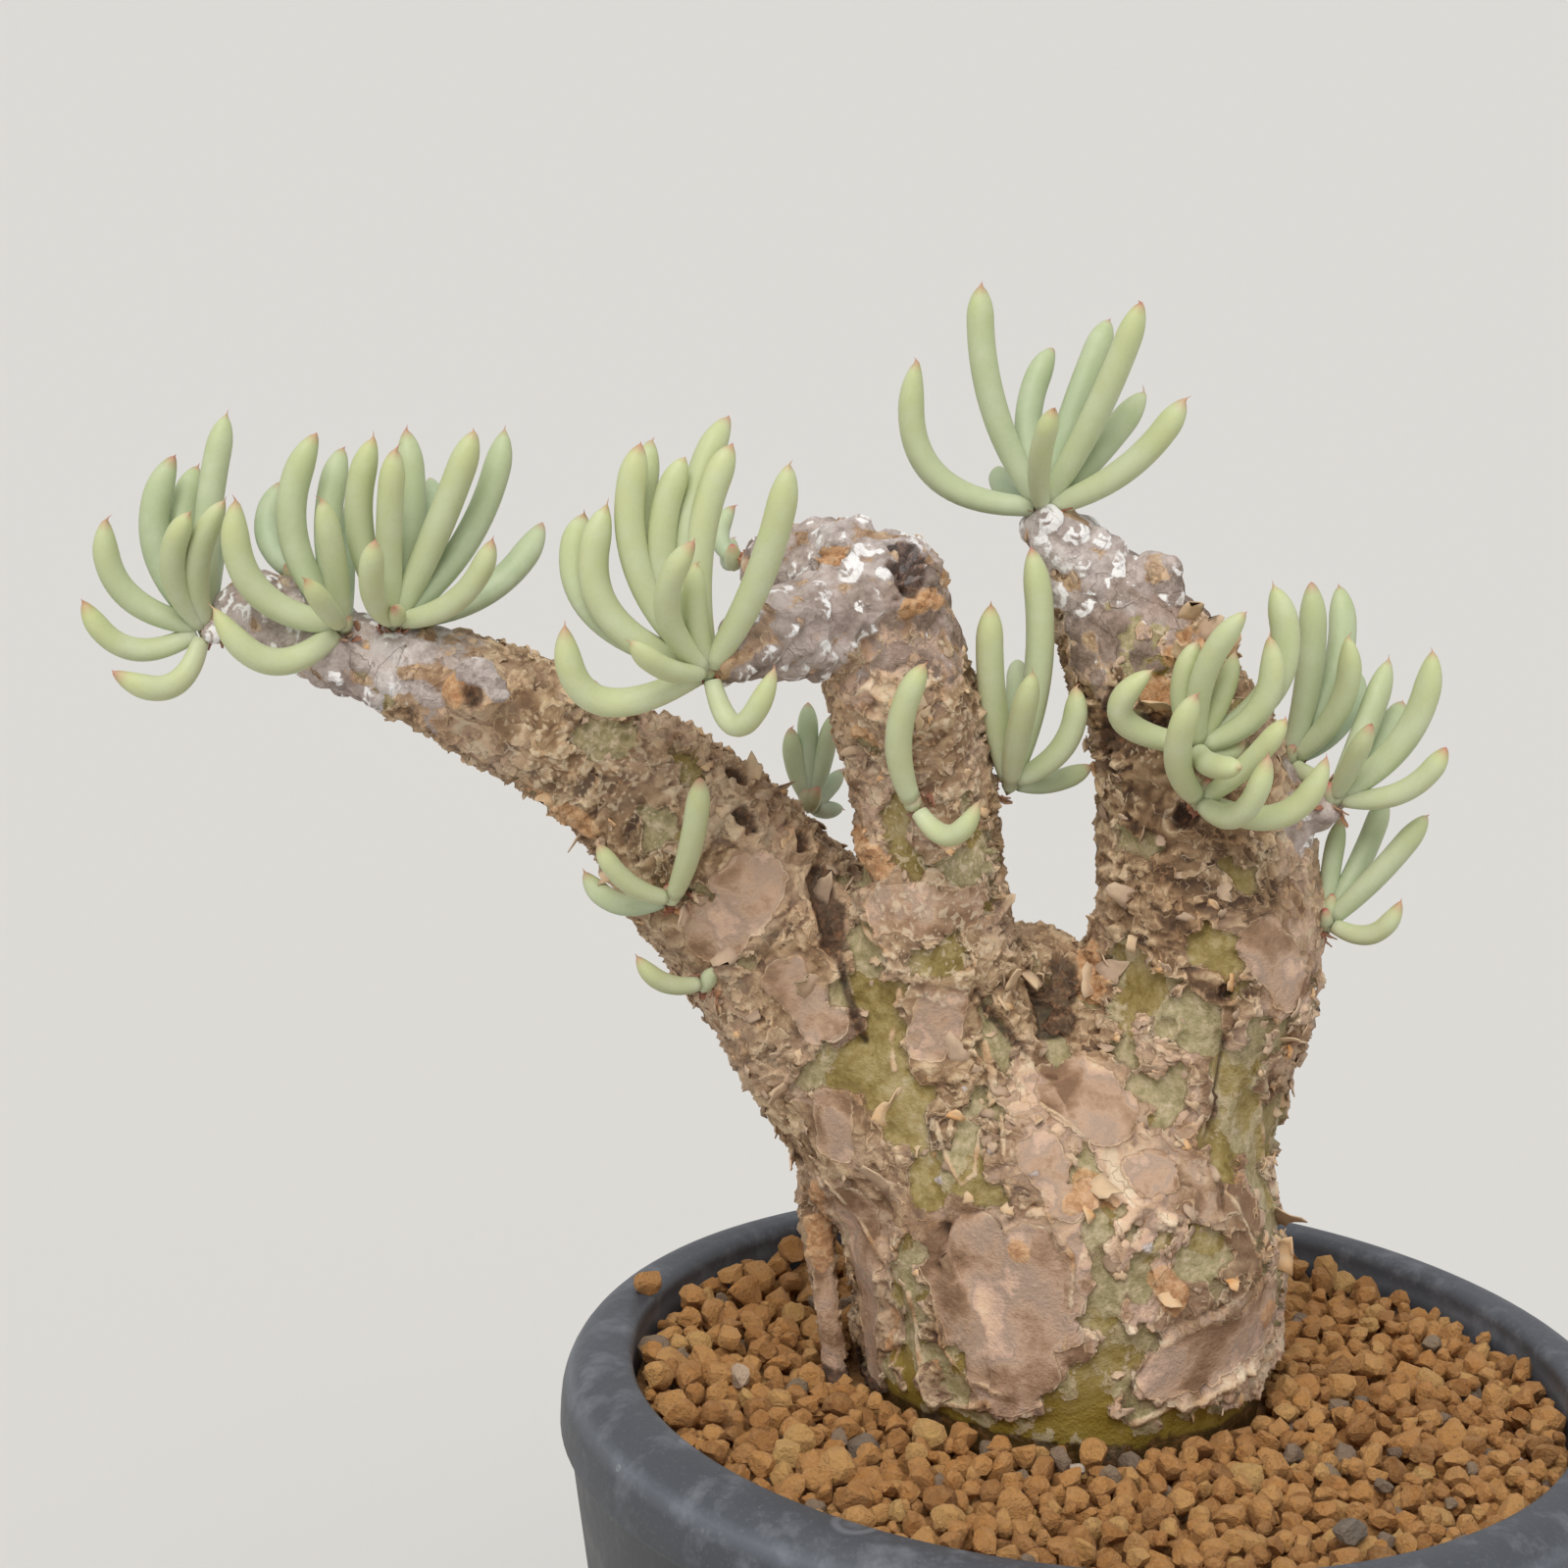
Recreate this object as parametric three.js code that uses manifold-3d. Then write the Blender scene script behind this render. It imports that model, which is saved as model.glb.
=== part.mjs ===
// A potted Tylecodon pearsonii: a swollen, branching trunk with tufts of finger-shaped leaves,
// growing in baked-clay grit in a round dark pot. Millimetres, +Z up.
// The origin is the centre of the pot's flat underside. +X is to the right of the front view
// that the places below were read in, and +Y points away from the viewer.
import * as THREE from 'three';
import { mergeVertices } from 'three/addons/utils/BufferGeometryUtils.js';
import Module from 'manifold-3d';

const wasm = await Module();
wasm.setup();

// Pot: a 105 mm round pot with a broad rounded lip
const POT_HEIGHT = 90;
const LIP_RADIUS = 52.5;
const MOUTH_RADIUS = 45.75;
const LIP_DEPTH = 8;
const LIP_ROUND = 4.4;
const LIP_DROP = 5.4;
const BAND_RADIUS = 51.8;
const FOOT_RADIUS = 37.5;
const WALL = 3.2;
const FLOOR = 4;
const CORNER = 1.2;
const POT_SIDES = 48;
const DRAIN_COUNT = 6;
const DRAIN_RADIUS = 4;
const DRAIN_RING = 24;
const DRAIN_SIDES = 16;
const DRAIN_DEPTH = 12;
const LIP_STEPS = 6;
const CORNER_STEPS = 3;

// Fillings, and the clearance that separate pieces keep
const GRAVEL_TOP = 20;
const SOIL_TOP = POT_HEIGHT - 3;
const CLEARANCE = 0.3;

// Leaves: length comes from each leaf's own curve
const LEAF_RADIUS = 1.38;
const LEAF_SIDES = 5;
const LEAF_STEPS = 5;
const LEAN_AT_BEND = 0.65;
const BUD_RADIUS = 1.7;
const BUD_SIDES = 6;
const BUD_RINGS = 4;
const LEAF_START = 1.1;
const LEAF_FLESH = [0.62, 0.88, 1, 0.98, 0.82, 0.16];

// Front view: a 1599 x 1599 grid seen through a long lens that looks down on the pot.
// rim is where the centre of the pot's rim falls on the grid, at `distance` millimetres.
const VIEW = { grid: 1599, lens: 20, tilt: 14.91, roll: -3.32, rim: [1125, 1393], distance: 432.7 };
const PLANT_DEPTH = 7;

// Stems. A knot is [column, row, depth, radius]: its place on the front view's grid, then
// millimetres behind the plant's middle plane, then the stem's radius there in millimetres.
const STEMS = {
  body: [[1086, 1452, 0, 18.9], [1086, 1400, 0, 20.4], [1087, 1340, 0, 21.3], [1086, 1280, 0, 21.5],
    [1078, 1220, 0, 21.6], [1068, 1165, 0, 20.8], [1062, 1115, 0, 18.4], [1058, 1075, 0, 14.5],
    [1056, 1045, 0, 9]],
  leftBranch: [[1030, 1200, 0, 14], [965, 1135, 0, 15.2], [905, 1070, 0, 13.6], [845, 1005, 0, 11.2],
    [780, 938, 0, 9.9], [710, 858, 0, 8.5], [655, 808, 0, 7.2], [600, 775, 0, 6.1], [545, 742, -1, 5.9],
    [490, 712, -1, 5.6], [440, 694, -2, 5.2], [395, 684, -2, 4.2], [372, 680, -2, 3]],
  leftShoot: [[400, 684, -2, 4], [345, 660, -1, 3.8], [300, 632, 0, 3.6], [262, 622, 1, 3.2],
    [236, 634, 1, 2.4], [228, 638, 1, 1.2]],
  middleBranch: [[1020, 1160, -1, 12], [984, 1080, -3, 10.6], [960, 1000, -4, 8.8], [951, 920, -5, 7.4],
    [948, 850, -5, 7], [938, 780, -5, 6.7], [922, 710, -6, 6.5], [906, 650, -6, 6.6], [886, 600, -6, 7],
    [873, 572, -6, 5], [866, 555, -6, 2.6]],
  middleStub: [[870, 630, -8, 5], [815, 642, -12, 4.1], [775, 655, -16, 3.4], [752, 668, -18, 2]],
  middleKnob: [[870, 588, -4, 4.5], [815, 575, -1, 3.8], [785, 575, 1, 2.6]],
  rightBranch: [[1130, 1220, 0, 14], [1178, 1130, 0, 13.2], [1214, 1030, 0, 11.6], [1229, 940, 0, 11],
    [1228, 860, 1, 10.6], [1215, 790, 1, 9.6], [1195, 730, 1, 8.3], [1165, 670, 1, 7.4], [1130, 610, 2, 5.6],
    [1095, 568, 2, 3.6], [1076, 546, 2, 2.2]],
  rightKnob: [[1160, 630, 0, 3.2], [1182, 588, 0, 2]],
  rightStub: [[1270, 842, 0, 6], [1312, 826, -1, 3.6], [1340, 820, -2, 1.8]],
  sideRoot: [[880, 1160, -1, 3], [838, 1200, -2, 2.2], [834, 1250, -3, 1.9], [838, 1300, -4, 1.8],
    [846, 1350, -5, 1.7], [856, 1420, -4, 1.4]],
  flowerStub: [[480, 706, -4, 3], [486, 706, -9, 2.2]],
};
const STEM_SIDES = { body: 20, leftBranch: 12, middleBranch: 12, rightBranch: 12 };
const SMALL_STEM_SIDES = 8;

// Roots under the soil: [across, away, up, radius] from the pot's own origin
const ROOTS = {
  tapRoot: [[-4, 8, 84, 18.4], [-3, 7, 74, 15], [-2, 5, 62, 9], [0, 2, 48, 5], [2, 0, 36, 2.4]],
  leftRoot: [[-10, 8, 76, 7], [-20, 4, 66, 4.5], [-27, -2, 54, 3], [-28, -6, 42, 1.8]],
  rightRoot: [[6, 10, 76, 7], [16, 14, 65, 4.2], [23, 16, 54, 2.8], [25, 15, 44, 1.6]],
};
const ROOT_SIDES = 8;

// Leaf tufts. base is [column, row, depth] of the growing tip. A leaf is
// [bend column, bend row, tip column, tip row, lean]: where its middle and its tip fall on the
// front view's grid, and how many millimetres its tip stands behind the growing tip.
const TUFTS = {
  left_tip: { base: [210, 643, 1], leaves: [
    [117, 590, 109, 524, -2], [129, 660, 83, 609, -3], [175, 699, 112, 683, -5], [157, 538, 180, 462, 3],
    [187, 522, 203, 473, 7], [218, 484, 232, 419, 5], [176, 576, 196, 519, -6], [203, 566, 232, 507, -5],
    [219, 553, 226, 520, 9]] },
  left_shoot_back: { base: [300, 590, 3], leaves: [
    [272, 538, 291, 489, 6]] },
  left_middle: { base: [350, 640, -4], leaves: [
    [284, 675, 215, 614, -5], [261, 601, 242, 503, -3], [330, 617, 309, 587, -7], [297, 532, 325, 439, 2],
    [337, 507, 352, 452, 7], [338, 558, 327, 504, -4], [349, 548, 348, 515, 10]] },
  left_end: { base: [402, 636, -3], leaves: [
    [366, 510, 383, 443, -1], [397, 533, 404, 453, -3], [420, 510, 413, 433, 5], [442, 519, 438, 486, 10],
    [380, 602, 383, 549, -9], [456, 515, 485, 436, 0], [488, 528, 515, 434, 5], [529, 574, 554, 531, 7],
    [472, 606, 503, 547, -5], [405, 626, 400, 618, -5]] },
  middle_left: { base: [722, 686, -19], leaves: [
    [598, 707, 576, 634, -3], [586, 570, 598, 520, 5], [610, 606, 621, 511, 0], [644, 550, 654, 451, 1],
    [656, 497, 666, 445, 6], [676, 681, 640, 650, -7], [676, 536, 701, 462, 2], [719, 473, 745, 423, 7],
    [719, 526, 748, 451, 3], [680, 611, 710, 550, -8], [709, 618, 710, 570, -3], [780, 574, 805, 470, -4],
    [748, 739, 792, 676, -5]] },
  middle_back: { base: [748, 575, 3], leaves: [
    [734, 545, 751, 514, 4], [744, 566, 748, 545, 8]] },
  upper_right: { base: [1063, 520, 2], leaves: [
    [948, 478, 936, 365, -1], [1012, 411, 1001, 288, 1], [1021, 494, 1019, 475, 9],
    [1054, 397, 1076, 352, 6], [1061, 466, 1076, 414, -8], [1113, 371, 1132, 324, 6],
    [1130, 395, 1165, 305, -2], [1137, 440, 1170, 396, 5], [1158, 470, 1210, 403, -4]] },
  middle_right: { base: [1030, 800, -5], leaves: [
    [1011, 700, 1011, 612, -4], [1060, 668, 1051, 557, 1], [1038, 696, 1038, 673, 9],
    [1041, 737, 1055, 682, -7], [1086, 758, 1096, 694, -2], [1075, 797, 1115, 780, 4]] },
  middle_front: { base: [930, 822, -13.5], leaves: [
    [917, 746, 946, 673, -4], [965, 852, 1001, 810, -4]] },
  right_front_upper: { base: [1220, 764, -9.5], leaves: [
    [1142, 722, 1181, 680, -4], [1206, 697, 1223, 652, -2], [1235, 672, 1274, 621, -5],
    [1249, 703, 1260, 661, 0], [1285, 722, 1293, 644, -2], [1241, 782, 1269, 782, -11],
    [1257, 765, 1268, 748, 0], [1307, 680, 1296, 592, 2]] },
  right_front_lower: { base: [1222, 818, -10.5], leaves: [
    [1201, 770, 1222, 705, -7], [1257, 833, 1295, 765, -7], [1310, 830, 1354, 769, -4],
    [1274, 778, 1313, 731, -4]] },
  right_outer: { base: [1316, 776, 1], leaves: [
    [1338, 658, 1337, 590, 0], [1369, 646, 1365, 595, 6], [1369, 714, 1373, 644, -3],
    [1354, 703, 1357, 677, 8], [1335, 790, 1350, 786, -4], [1376, 720, 1385, 680, 9]] },
  right_stub: { base: [1360, 816, -3], leaves: [
    [1403, 714, 1418, 668, 5], [1445, 731, 1461, 661, 0], [1414, 748, 1431, 714, 8],
    [1383, 770, 1400, 736, -5], [1437, 804, 1476, 760, -3]] },
  right_low: { base: [1352, 942, -2], leaves: [
    [1358, 882, 1369, 830, 3], [1400, 849, 1413, 811, 6], [1414, 882, 1458, 828, 0],
    [1397, 953, 1430, 915, -4]] },
  left_low: { base: [686, 918, -8], leaves: [
    [616, 914, 594, 885, 4], [643, 902, 609, 858, -4], [706, 856, 714, 791, -6]] },
  left_single: { base: [720, 1004, -6], leaves: [
    [675, 1001, 648, 972, -4]] },
  back: { base: [826, 822, 10], leaves: [
    [810, 776, 807, 738, 3], [824, 764, 824, 714, 5], [840, 773, 849, 725, 4], [845, 803, 861, 783, 7],
    [845, 826, 861, 824, 6]] },
};

// The unit directions of the front view: to the viewer's right, up, and into the picture
function viewAxes() {
  const tilt = THREE.MathUtils.degToRad(VIEW.tilt);
  const roll = THREE.MathUtils.degToRad(VIEW.roll);
  const ahead = new THREE.Vector3(0, Math.cos(tilt), -Math.sin(tilt));
  const right = new THREE.Vector3(1, 0, 0).applyAxisAngle(ahead, roll);
  const up = new THREE.Vector3(0, Math.sin(tilt), Math.cos(tilt)).applyAxisAngle(ahead, roll);
  return { ahead, right, up };
}

const AXES = viewAxes();
const FOCAL = VIEW.grid / 2 / Math.tan(THREE.MathUtils.degToRad(VIEW.lens / 2));

// The direction of the sight line through a place on the front view's grid
function sightLine(column, row) {
  return AXES.ahead.clone()
    .addScaledVector(AXES.right, (column - VIEW.grid / 2) / FOCAL)
    .addScaledVector(AXES.up, (VIEW.grid / 2 - row) / FOCAL);
}

const EYE = new THREE.Vector3(0, 0, POT_HEIGHT)
  .addScaledVector(sightLine(...VIEW.rim), -VIEW.distance);

// The point `depth` millimetres behind the plant's middle plane on one sight line
function place(column, row, depth) {
  const direction = sightLine(column, row);
  const reach = (PLANT_DEPTH + depth - EYE.y) / direction.y;
  return EYE.clone().addScaledVector(direction, reach);
}

// A value read off a list of evenly spaced ones, for t from 0 to 1
function along(values, t) {
  const place = t * (values.length - 1);
  const index = Math.min(Math.floor(place), values.length - 2);
  return THREE.MathUtils.lerp(values[index], values[index + 1], place - index);
}

// A closed round rod bent along a curve: a cylinder's vertices moved onto the curve's rings
function rod(curve, radii, sides, steps, extra = 0) {
  const geometry = new THREE.CylinderGeometry(1, 1, 1, sides, steps);
  const frames = curve.computeFrenetFrames(steps, false);
  const vertices = geometry.attributes.position;
  const vertex = new THREE.Vector3();
  for (let i = 0; i < vertices.count; i += 1) {
    vertex.fromBufferAttribute(vertices, i);
    const ring = Math.round((vertex.y + 0.5) * steps);
    const radius = along(radii, curve.getUtoTmapping(ring / steps)) + extra;
    const point = curve.getPointAt(ring / steps)
      .addScaledVector(frames.normals[ring], vertex.z * radius)
      .addScaledVector(frames.binormals[ring], vertex.x * radius)
      .addScaledVector(frames.tangents[ring], (ring / steps * 2 - 1) * extra);
    vertices.setXYZ(i, point.x, point.y, point.z);
  }
  return solid(geometry);
}

// A closed solid that can be joined and cut, from a closed geometry
function solid(geometry) {
  const bare = geometry.clone();
  bare.deleteAttribute('normal');
  bare.deleteAttribute('uv');
  const merged = mergeVertices(bare);
  return new wasm.Manifold(new wasm.Mesh({
    numProp: 3,
    vertProperties: merged.attributes.position.array,
    triVerts: new Uint32Array(merged.index.array),
  }));
}

// A named mesh with its own material, from a joined or cut solid
function piece(name, shape, color, roughness) {
  const mesh = shape.getMesh();
  const geometry = new THREE.BufferGeometry();
  geometry.setAttribute('position', new THREE.BufferAttribute(mesh.vertProperties, 3));
  geometry.setIndex(new THREE.BufferAttribute(mesh.triVerts, 1));
  geometry.computeVertexNormals();
  const material = new THREE.MeshStandardMaterial({ color, roughness, metalness: 0 });
  const result = new THREE.Mesh(geometry, material);
  result.name = name;
  return result;
}

// A solid turned about the pot's upright axis, from [radius, height] points
function turned(points) {
  const profile = points.map(([radius, height]) => new THREE.Vector2(radius, height));
  const geometry = new THREE.LatheGeometry(profile, POT_SIDES);
  geometry.rotateX(Math.PI / 2);
  return solid(geometry);
}

// The pot's inner radius at a height: it widens evenly up to the lip, then runs straight
function insideRadius(height) {
  const rise = (height - FLOOR) / (POT_HEIGHT - LIP_DEPTH - FLOOR);
  return THREE.MathUtils.lerp(FOOT_RADIUS - WALL, MOUTH_RADIUS, Math.min(rise, 1));
}

// Profile points of a rounded edge: an elliptical arc from one angle to another, in degrees
function quarter(centreRadius, centreHeight, wide, high, from, to, steps) {
  return Array.from({ length: steps + 1 }, (_, i) => {
    const angle = THREE.MathUtils.degToRad(THREE.MathUtils.lerp(from, to, i / steps));
    return [centreRadius + wide * Math.cos(angle), centreHeight + high * Math.sin(angle)];
  });
}

// Pot: turned wall with a rounded lip, then the ring of drain holes through its floor
function makePot() {
  const outer = [
    [0, 0],
    [FOOT_RADIUS - CORNER, 0],
    [FOOT_RADIUS, CORNER],
    [BAND_RADIUS, POT_HEIGHT - LIP_DEPTH],
    [LIP_RADIUS, POT_HEIGHT - LIP_DEPTH + CORNER],
  ];
  const lip = [
    ...quarter(LIP_RADIUS - LIP_ROUND, POT_HEIGHT - LIP_DROP, LIP_ROUND, LIP_DROP, 0, 90, LIP_STEPS),
    ...quarter(MOUTH_RADIUS + CORNER, POT_HEIGHT - CORNER, CORNER, CORNER, 90, 180, CORNER_STEPS),
  ];
  const inner = [
    [MOUTH_RADIUS, POT_HEIGHT - LIP_DEPTH],
    [insideRadius(FLOOR), FLOOR],
    [0, FLOOR],
  ];
  let pot = turned([...outer, ...lip, ...inner]);
  for (let i = 0; i < DRAIN_COUNT; i += 1) {
    const angle = i * 2 * Math.PI / DRAIN_COUNT;
    const hole = new THREE.CylinderGeometry(DRAIN_RADIUS, DRAIN_RADIUS, DRAIN_DEPTH, DRAIN_SIDES);
    hole.rotateX(Math.PI / 2);
    hole.translate(DRAIN_RING * Math.cos(angle), DRAIN_RING * Math.sin(angle), 0);
    pot = pot.subtract(solid(hole));
  }
  return pot;
}

// A filling of the pot between two heights
function makeFilling(bottom, top) {
  return turned([
    [0, bottom],
    [insideRadius(bottom) - CLEARANCE, bottom],
    [insideRadius(top) - CLEARANCE, top],
    [0, top],
  ]);
}

// Every stem and root, each a rod through its knots, made thicker by `extra`
function plantRods(extra) {
  const rods = [];
  for (const [name, knots] of Object.entries(STEMS)) {
    const points = knots.map(([column, row, depth]) => place(column, row, depth));
    const radii = knots.map((knot) => knot[3]);
    const sides = STEM_SIDES[name] ?? SMALL_STEM_SIDES;
    rods.push(rod(new THREE.CatmullRomCurve3(points), radii, sides, knots.length + 1, extra));
  }
  for (const knots of Object.values(ROOTS)) {
    const points = knots.map(([x, y, z]) => new THREE.Vector3(x, y, z));
    const radii = knots.map((knot) => knot[3]);
    rods.push(rod(new THREE.CatmullRomCurve3(points), radii, ROOT_SIDES, knots.length + 1, extra));
  }
  return rods;
}

function joined(solids) {
  return solids.reduce((whole, next) => whole.add(next));
}

// One leaf: a rod along a curve through its bend, as far along as the bend lies, to its tip
function makeLeaf(base, depth, [bendColumn, bendRow, tipColumn, tipRow, lean]) {
  const bend = place(bendColumn, bendRow, depth + LEAN_AT_BEND * lean);
  const tip = place(tipColumn, tipRow, depth + lean);
  const start = base.clone().addScaledVector(bend.clone().sub(base).normalize(), LEAF_START);
  const lower = start.distanceTo(bend);
  const along = lower / (lower + bend.distanceTo(tip));
  const control = bend.clone().addScaledVector(start, -((1 - along) ** 2));
  control.addScaledVector(tip, -(along ** 2)).divideScalar(2 * along * (1 - along));
  const curve = new THREE.QuadraticBezierCurve3(start, control, tip);
  return rod(curve, LEAF_FLESH.map((share) => share * LEAF_RADIUS), LEAF_SIDES, LEAF_STEPS);
}

// A tuft: its leaves joined at the growing tip, clear of the bark behind them
function makeTuft({ base: [column, row, depth], leaves }, bark) {
  const base = place(column, row, depth);
  const bud = new THREE.SphereGeometry(BUD_RADIUS, BUD_SIDES, BUD_RINGS);
  bud.rotateX(Math.PI / 2);
  bud.translate(base.x, base.y, base.z);
  const tuft = joined([solid(bud), ...leaves.map((leaf) => makeLeaf(base, depth, leaf))]);
  return tuft.subtract(bark);
}

const group = new THREE.Group();
const plant = joined(plantRods(0));
const clearOfPlant = joined(plantRods(CLEARANCE));

group.add(piece('pot', makePot(), '#454a50', 0.62));
group.add(piece('drainage_gravel', makeFilling(FLOOR + CLEARANCE, GRAVEL_TOP), '#8d867b', 0.95));
const soil = makeFilling(GRAVEL_TOP + CLEARANCE, SOIL_TOP);
group.add(piece('grit_soil', soil.subtract(clearOfPlant), '#b07a45', 0.95));
group.add(piece('caudex', plant, '#8f7a67', 0.85));
for (const [name, tuft] of Object.entries(TUFTS)) {
  group.add(piece(`leaf_tuft_${name}`, makeTuft(tuft, clearOfPlant), '#b3c48a', 0.55));
}

export default group;
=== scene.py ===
import math
import random
from functools import partial

import bmesh
import bpy
import numpy as np
from bpy.props import FloatProperty, FloatVectorProperty, IntProperty, PointerProperty
from mathutils import Matrix, Vector, noise
from mathutils.bvhtree import BVHTree
from mathutils.kdtree import KDTree


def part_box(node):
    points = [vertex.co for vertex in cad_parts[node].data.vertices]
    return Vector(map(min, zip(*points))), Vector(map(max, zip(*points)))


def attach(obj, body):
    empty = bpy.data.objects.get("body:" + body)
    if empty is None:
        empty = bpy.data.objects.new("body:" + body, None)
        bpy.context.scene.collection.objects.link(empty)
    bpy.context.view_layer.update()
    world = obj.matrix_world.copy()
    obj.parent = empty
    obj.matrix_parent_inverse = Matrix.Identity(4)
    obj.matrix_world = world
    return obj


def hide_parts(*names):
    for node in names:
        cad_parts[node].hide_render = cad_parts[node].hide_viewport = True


bl_info = {
    "name": "Potted Tylecodon pearsonii",
    "version": (1, 0, 0),
    "blender": (4, 5, 0),
    "location": "3D View > Sidebar > Tylecodon",
    "description": "Builds a branching caudex with leaf tufts in a pot of clay granules",
    "category": "Add Mesh",
}

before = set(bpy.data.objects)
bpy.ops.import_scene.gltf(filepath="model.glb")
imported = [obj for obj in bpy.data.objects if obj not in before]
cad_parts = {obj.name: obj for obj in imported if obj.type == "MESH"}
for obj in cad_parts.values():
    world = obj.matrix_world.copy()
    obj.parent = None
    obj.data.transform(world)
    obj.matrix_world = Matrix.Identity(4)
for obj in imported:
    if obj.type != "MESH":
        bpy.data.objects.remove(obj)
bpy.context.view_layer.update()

MM = 0.001
_, POT_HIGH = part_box("pot")
SOIL_LOW, SOIL_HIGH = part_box("grit_soil")
GRAVEL_LOW, GRAVEL_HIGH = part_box("drainage_gravel")
SOIL_LEVEL = SOIL_HIGH.z

# The pot's inside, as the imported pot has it
POT_MOUTH = 45.75 * MM
POT_FOOT = 37.5 * MM
POT_WALL = 3.2 * MM
POT_FLOOR = 4 * MM
LIP_DEPTH = 8 * MM
DRAINS = {"count": 6, "ring": 24 * MM, "radius": 4 * MM, "depth": 12 * MM}

# The front view that places were read in: a grid of 1599 x 1599 seen through a long lens.
# rim is where the centre of the pot's rim falls on it, distance millimetres away.
VIEW = {"grid": 1599, "lens": 20.0, "tilt": 14.91, "roll": -3.32, "rim": (1125, 1393), "distance": 432.7}

# How many millimetres the plant's middle plane stands behind the pot's axis
PLANT_DEPTH = 7.0

# Stems. A knot is (column, row, depth, radius): its place on the front view's grid, then
# millimetres behind the plant's middle plane, then the stem's radius there in millimetres.
STEMS = {
    "body": (
        (1088, 1560, 0, 14), (1086, 1500, 0, 16.8), (1085, 1452, 0, 18.6), (1086, 1400, 0, 20.3),
        (1087, 1340, 0, 21.2), (1086, 1280, 0, 21.4), (1078, 1220, 0, 21.6), (1068, 1165, 0, 20.8),
        (1062, 1115, 0, 18.4), (1058, 1075, 0, 14.5), (1056, 1045, 0, 9)),
    "left_branch": (
        (1030, 1200, 0, 14), (965, 1135, 0, 15.2), (905, 1070, 0, 13.6), (845, 1005, 0, 11.2),
        (780, 938, 0, 9.9), (710, 858, 0, 8.5), (655, 808, 0, 7.2), (600, 775, 0, 6.1),
        (545, 742, -1, 5.9), (490, 712, -1, 5.6), (440, 694, -2, 5.2), (395, 684, -2, 4.2),
        (372, 680, -2, 3)),
    "left_shoot": (
        (400, 684, -2, 4), (345, 660, -1, 3.8), (300, 632, 0, 3.6), (262, 622, 1, 3.2), (236, 634, 1, 2.4),
        (222, 640, 1, 1.6)),
    "middle_branch": (
        (1020, 1160, -1, 12), (984, 1080, -3, 10.6), (960, 1000, -4, 8.8), (951, 920, -5, 7.4),
        (948, 850, -5, 7), (938, 780, -5, 6.7), (922, 710, -6, 6.5), (906, 650, -6, 6.6),
        (886, 600, -6, 7), (873, 572, -6, 5), (866, 555, -6, 2.6)),
    "middle_stub": (
        (870, 630, -8, 5), (815, 642, -12, 4.1), (775, 655, -16, 3.4), (742, 674, -18, 2.2)),
    "middle_knob": (
        (870, 588, -4, 4.5), (815, 575, -1, 3.8), (785, 575, 1, 2.6)),
    "right_branch": (
        (1130, 1220, 0, 14), (1178, 1130, 0, 13.2), (1214, 1030, 0, 11.6), (1229, 940, 0, 11),
        (1228, 860, 1, 10.6), (1215, 790, 1, 9.6), (1195, 730, 1, 8.3), (1163, 671, 1, 7.3),
        (1123, 612, 2, 5.3), (1095, 568, 2, 3.6), (1073, 540, 2, 2.6)),
    "right_knob": (
        (1150, 640, 0, 3.6), (1178, 606, 0, 2.9), (1181, 586, 0, 2.3)),
    "right_stub": (
        (1270, 842, 0, 6), (1312, 826, -1, 3.6), (1345, 820, -2, 2.2)),
    "side_root": (
        (880, 1160, -1, 3), (838, 1200, -2, 2.2), (836, 1250, -3, 1.7), (840, 1300, -4, 1.5),
        (846, 1350, -5, 1.5), (856, 1420, -4, 1.4)),
    "flower_stub": (
        (480, 706, -4, 3), (486, 706, -9, 2.2)),
}

# Shoots covered in silvery leaf scars: stem, and the share of its length where the silver starts
SILVER_SHOOTS = (
    ("left_shoot", 0.0), ("middle_stub", 0.05), ("middle_knob", 0.0), ("right_branch", 0.67),
    ("right_knob", 0.0), ("middle_branch", 0.63), ("left_branch", 0.8), ("right_stub", 0.5),
)

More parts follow.
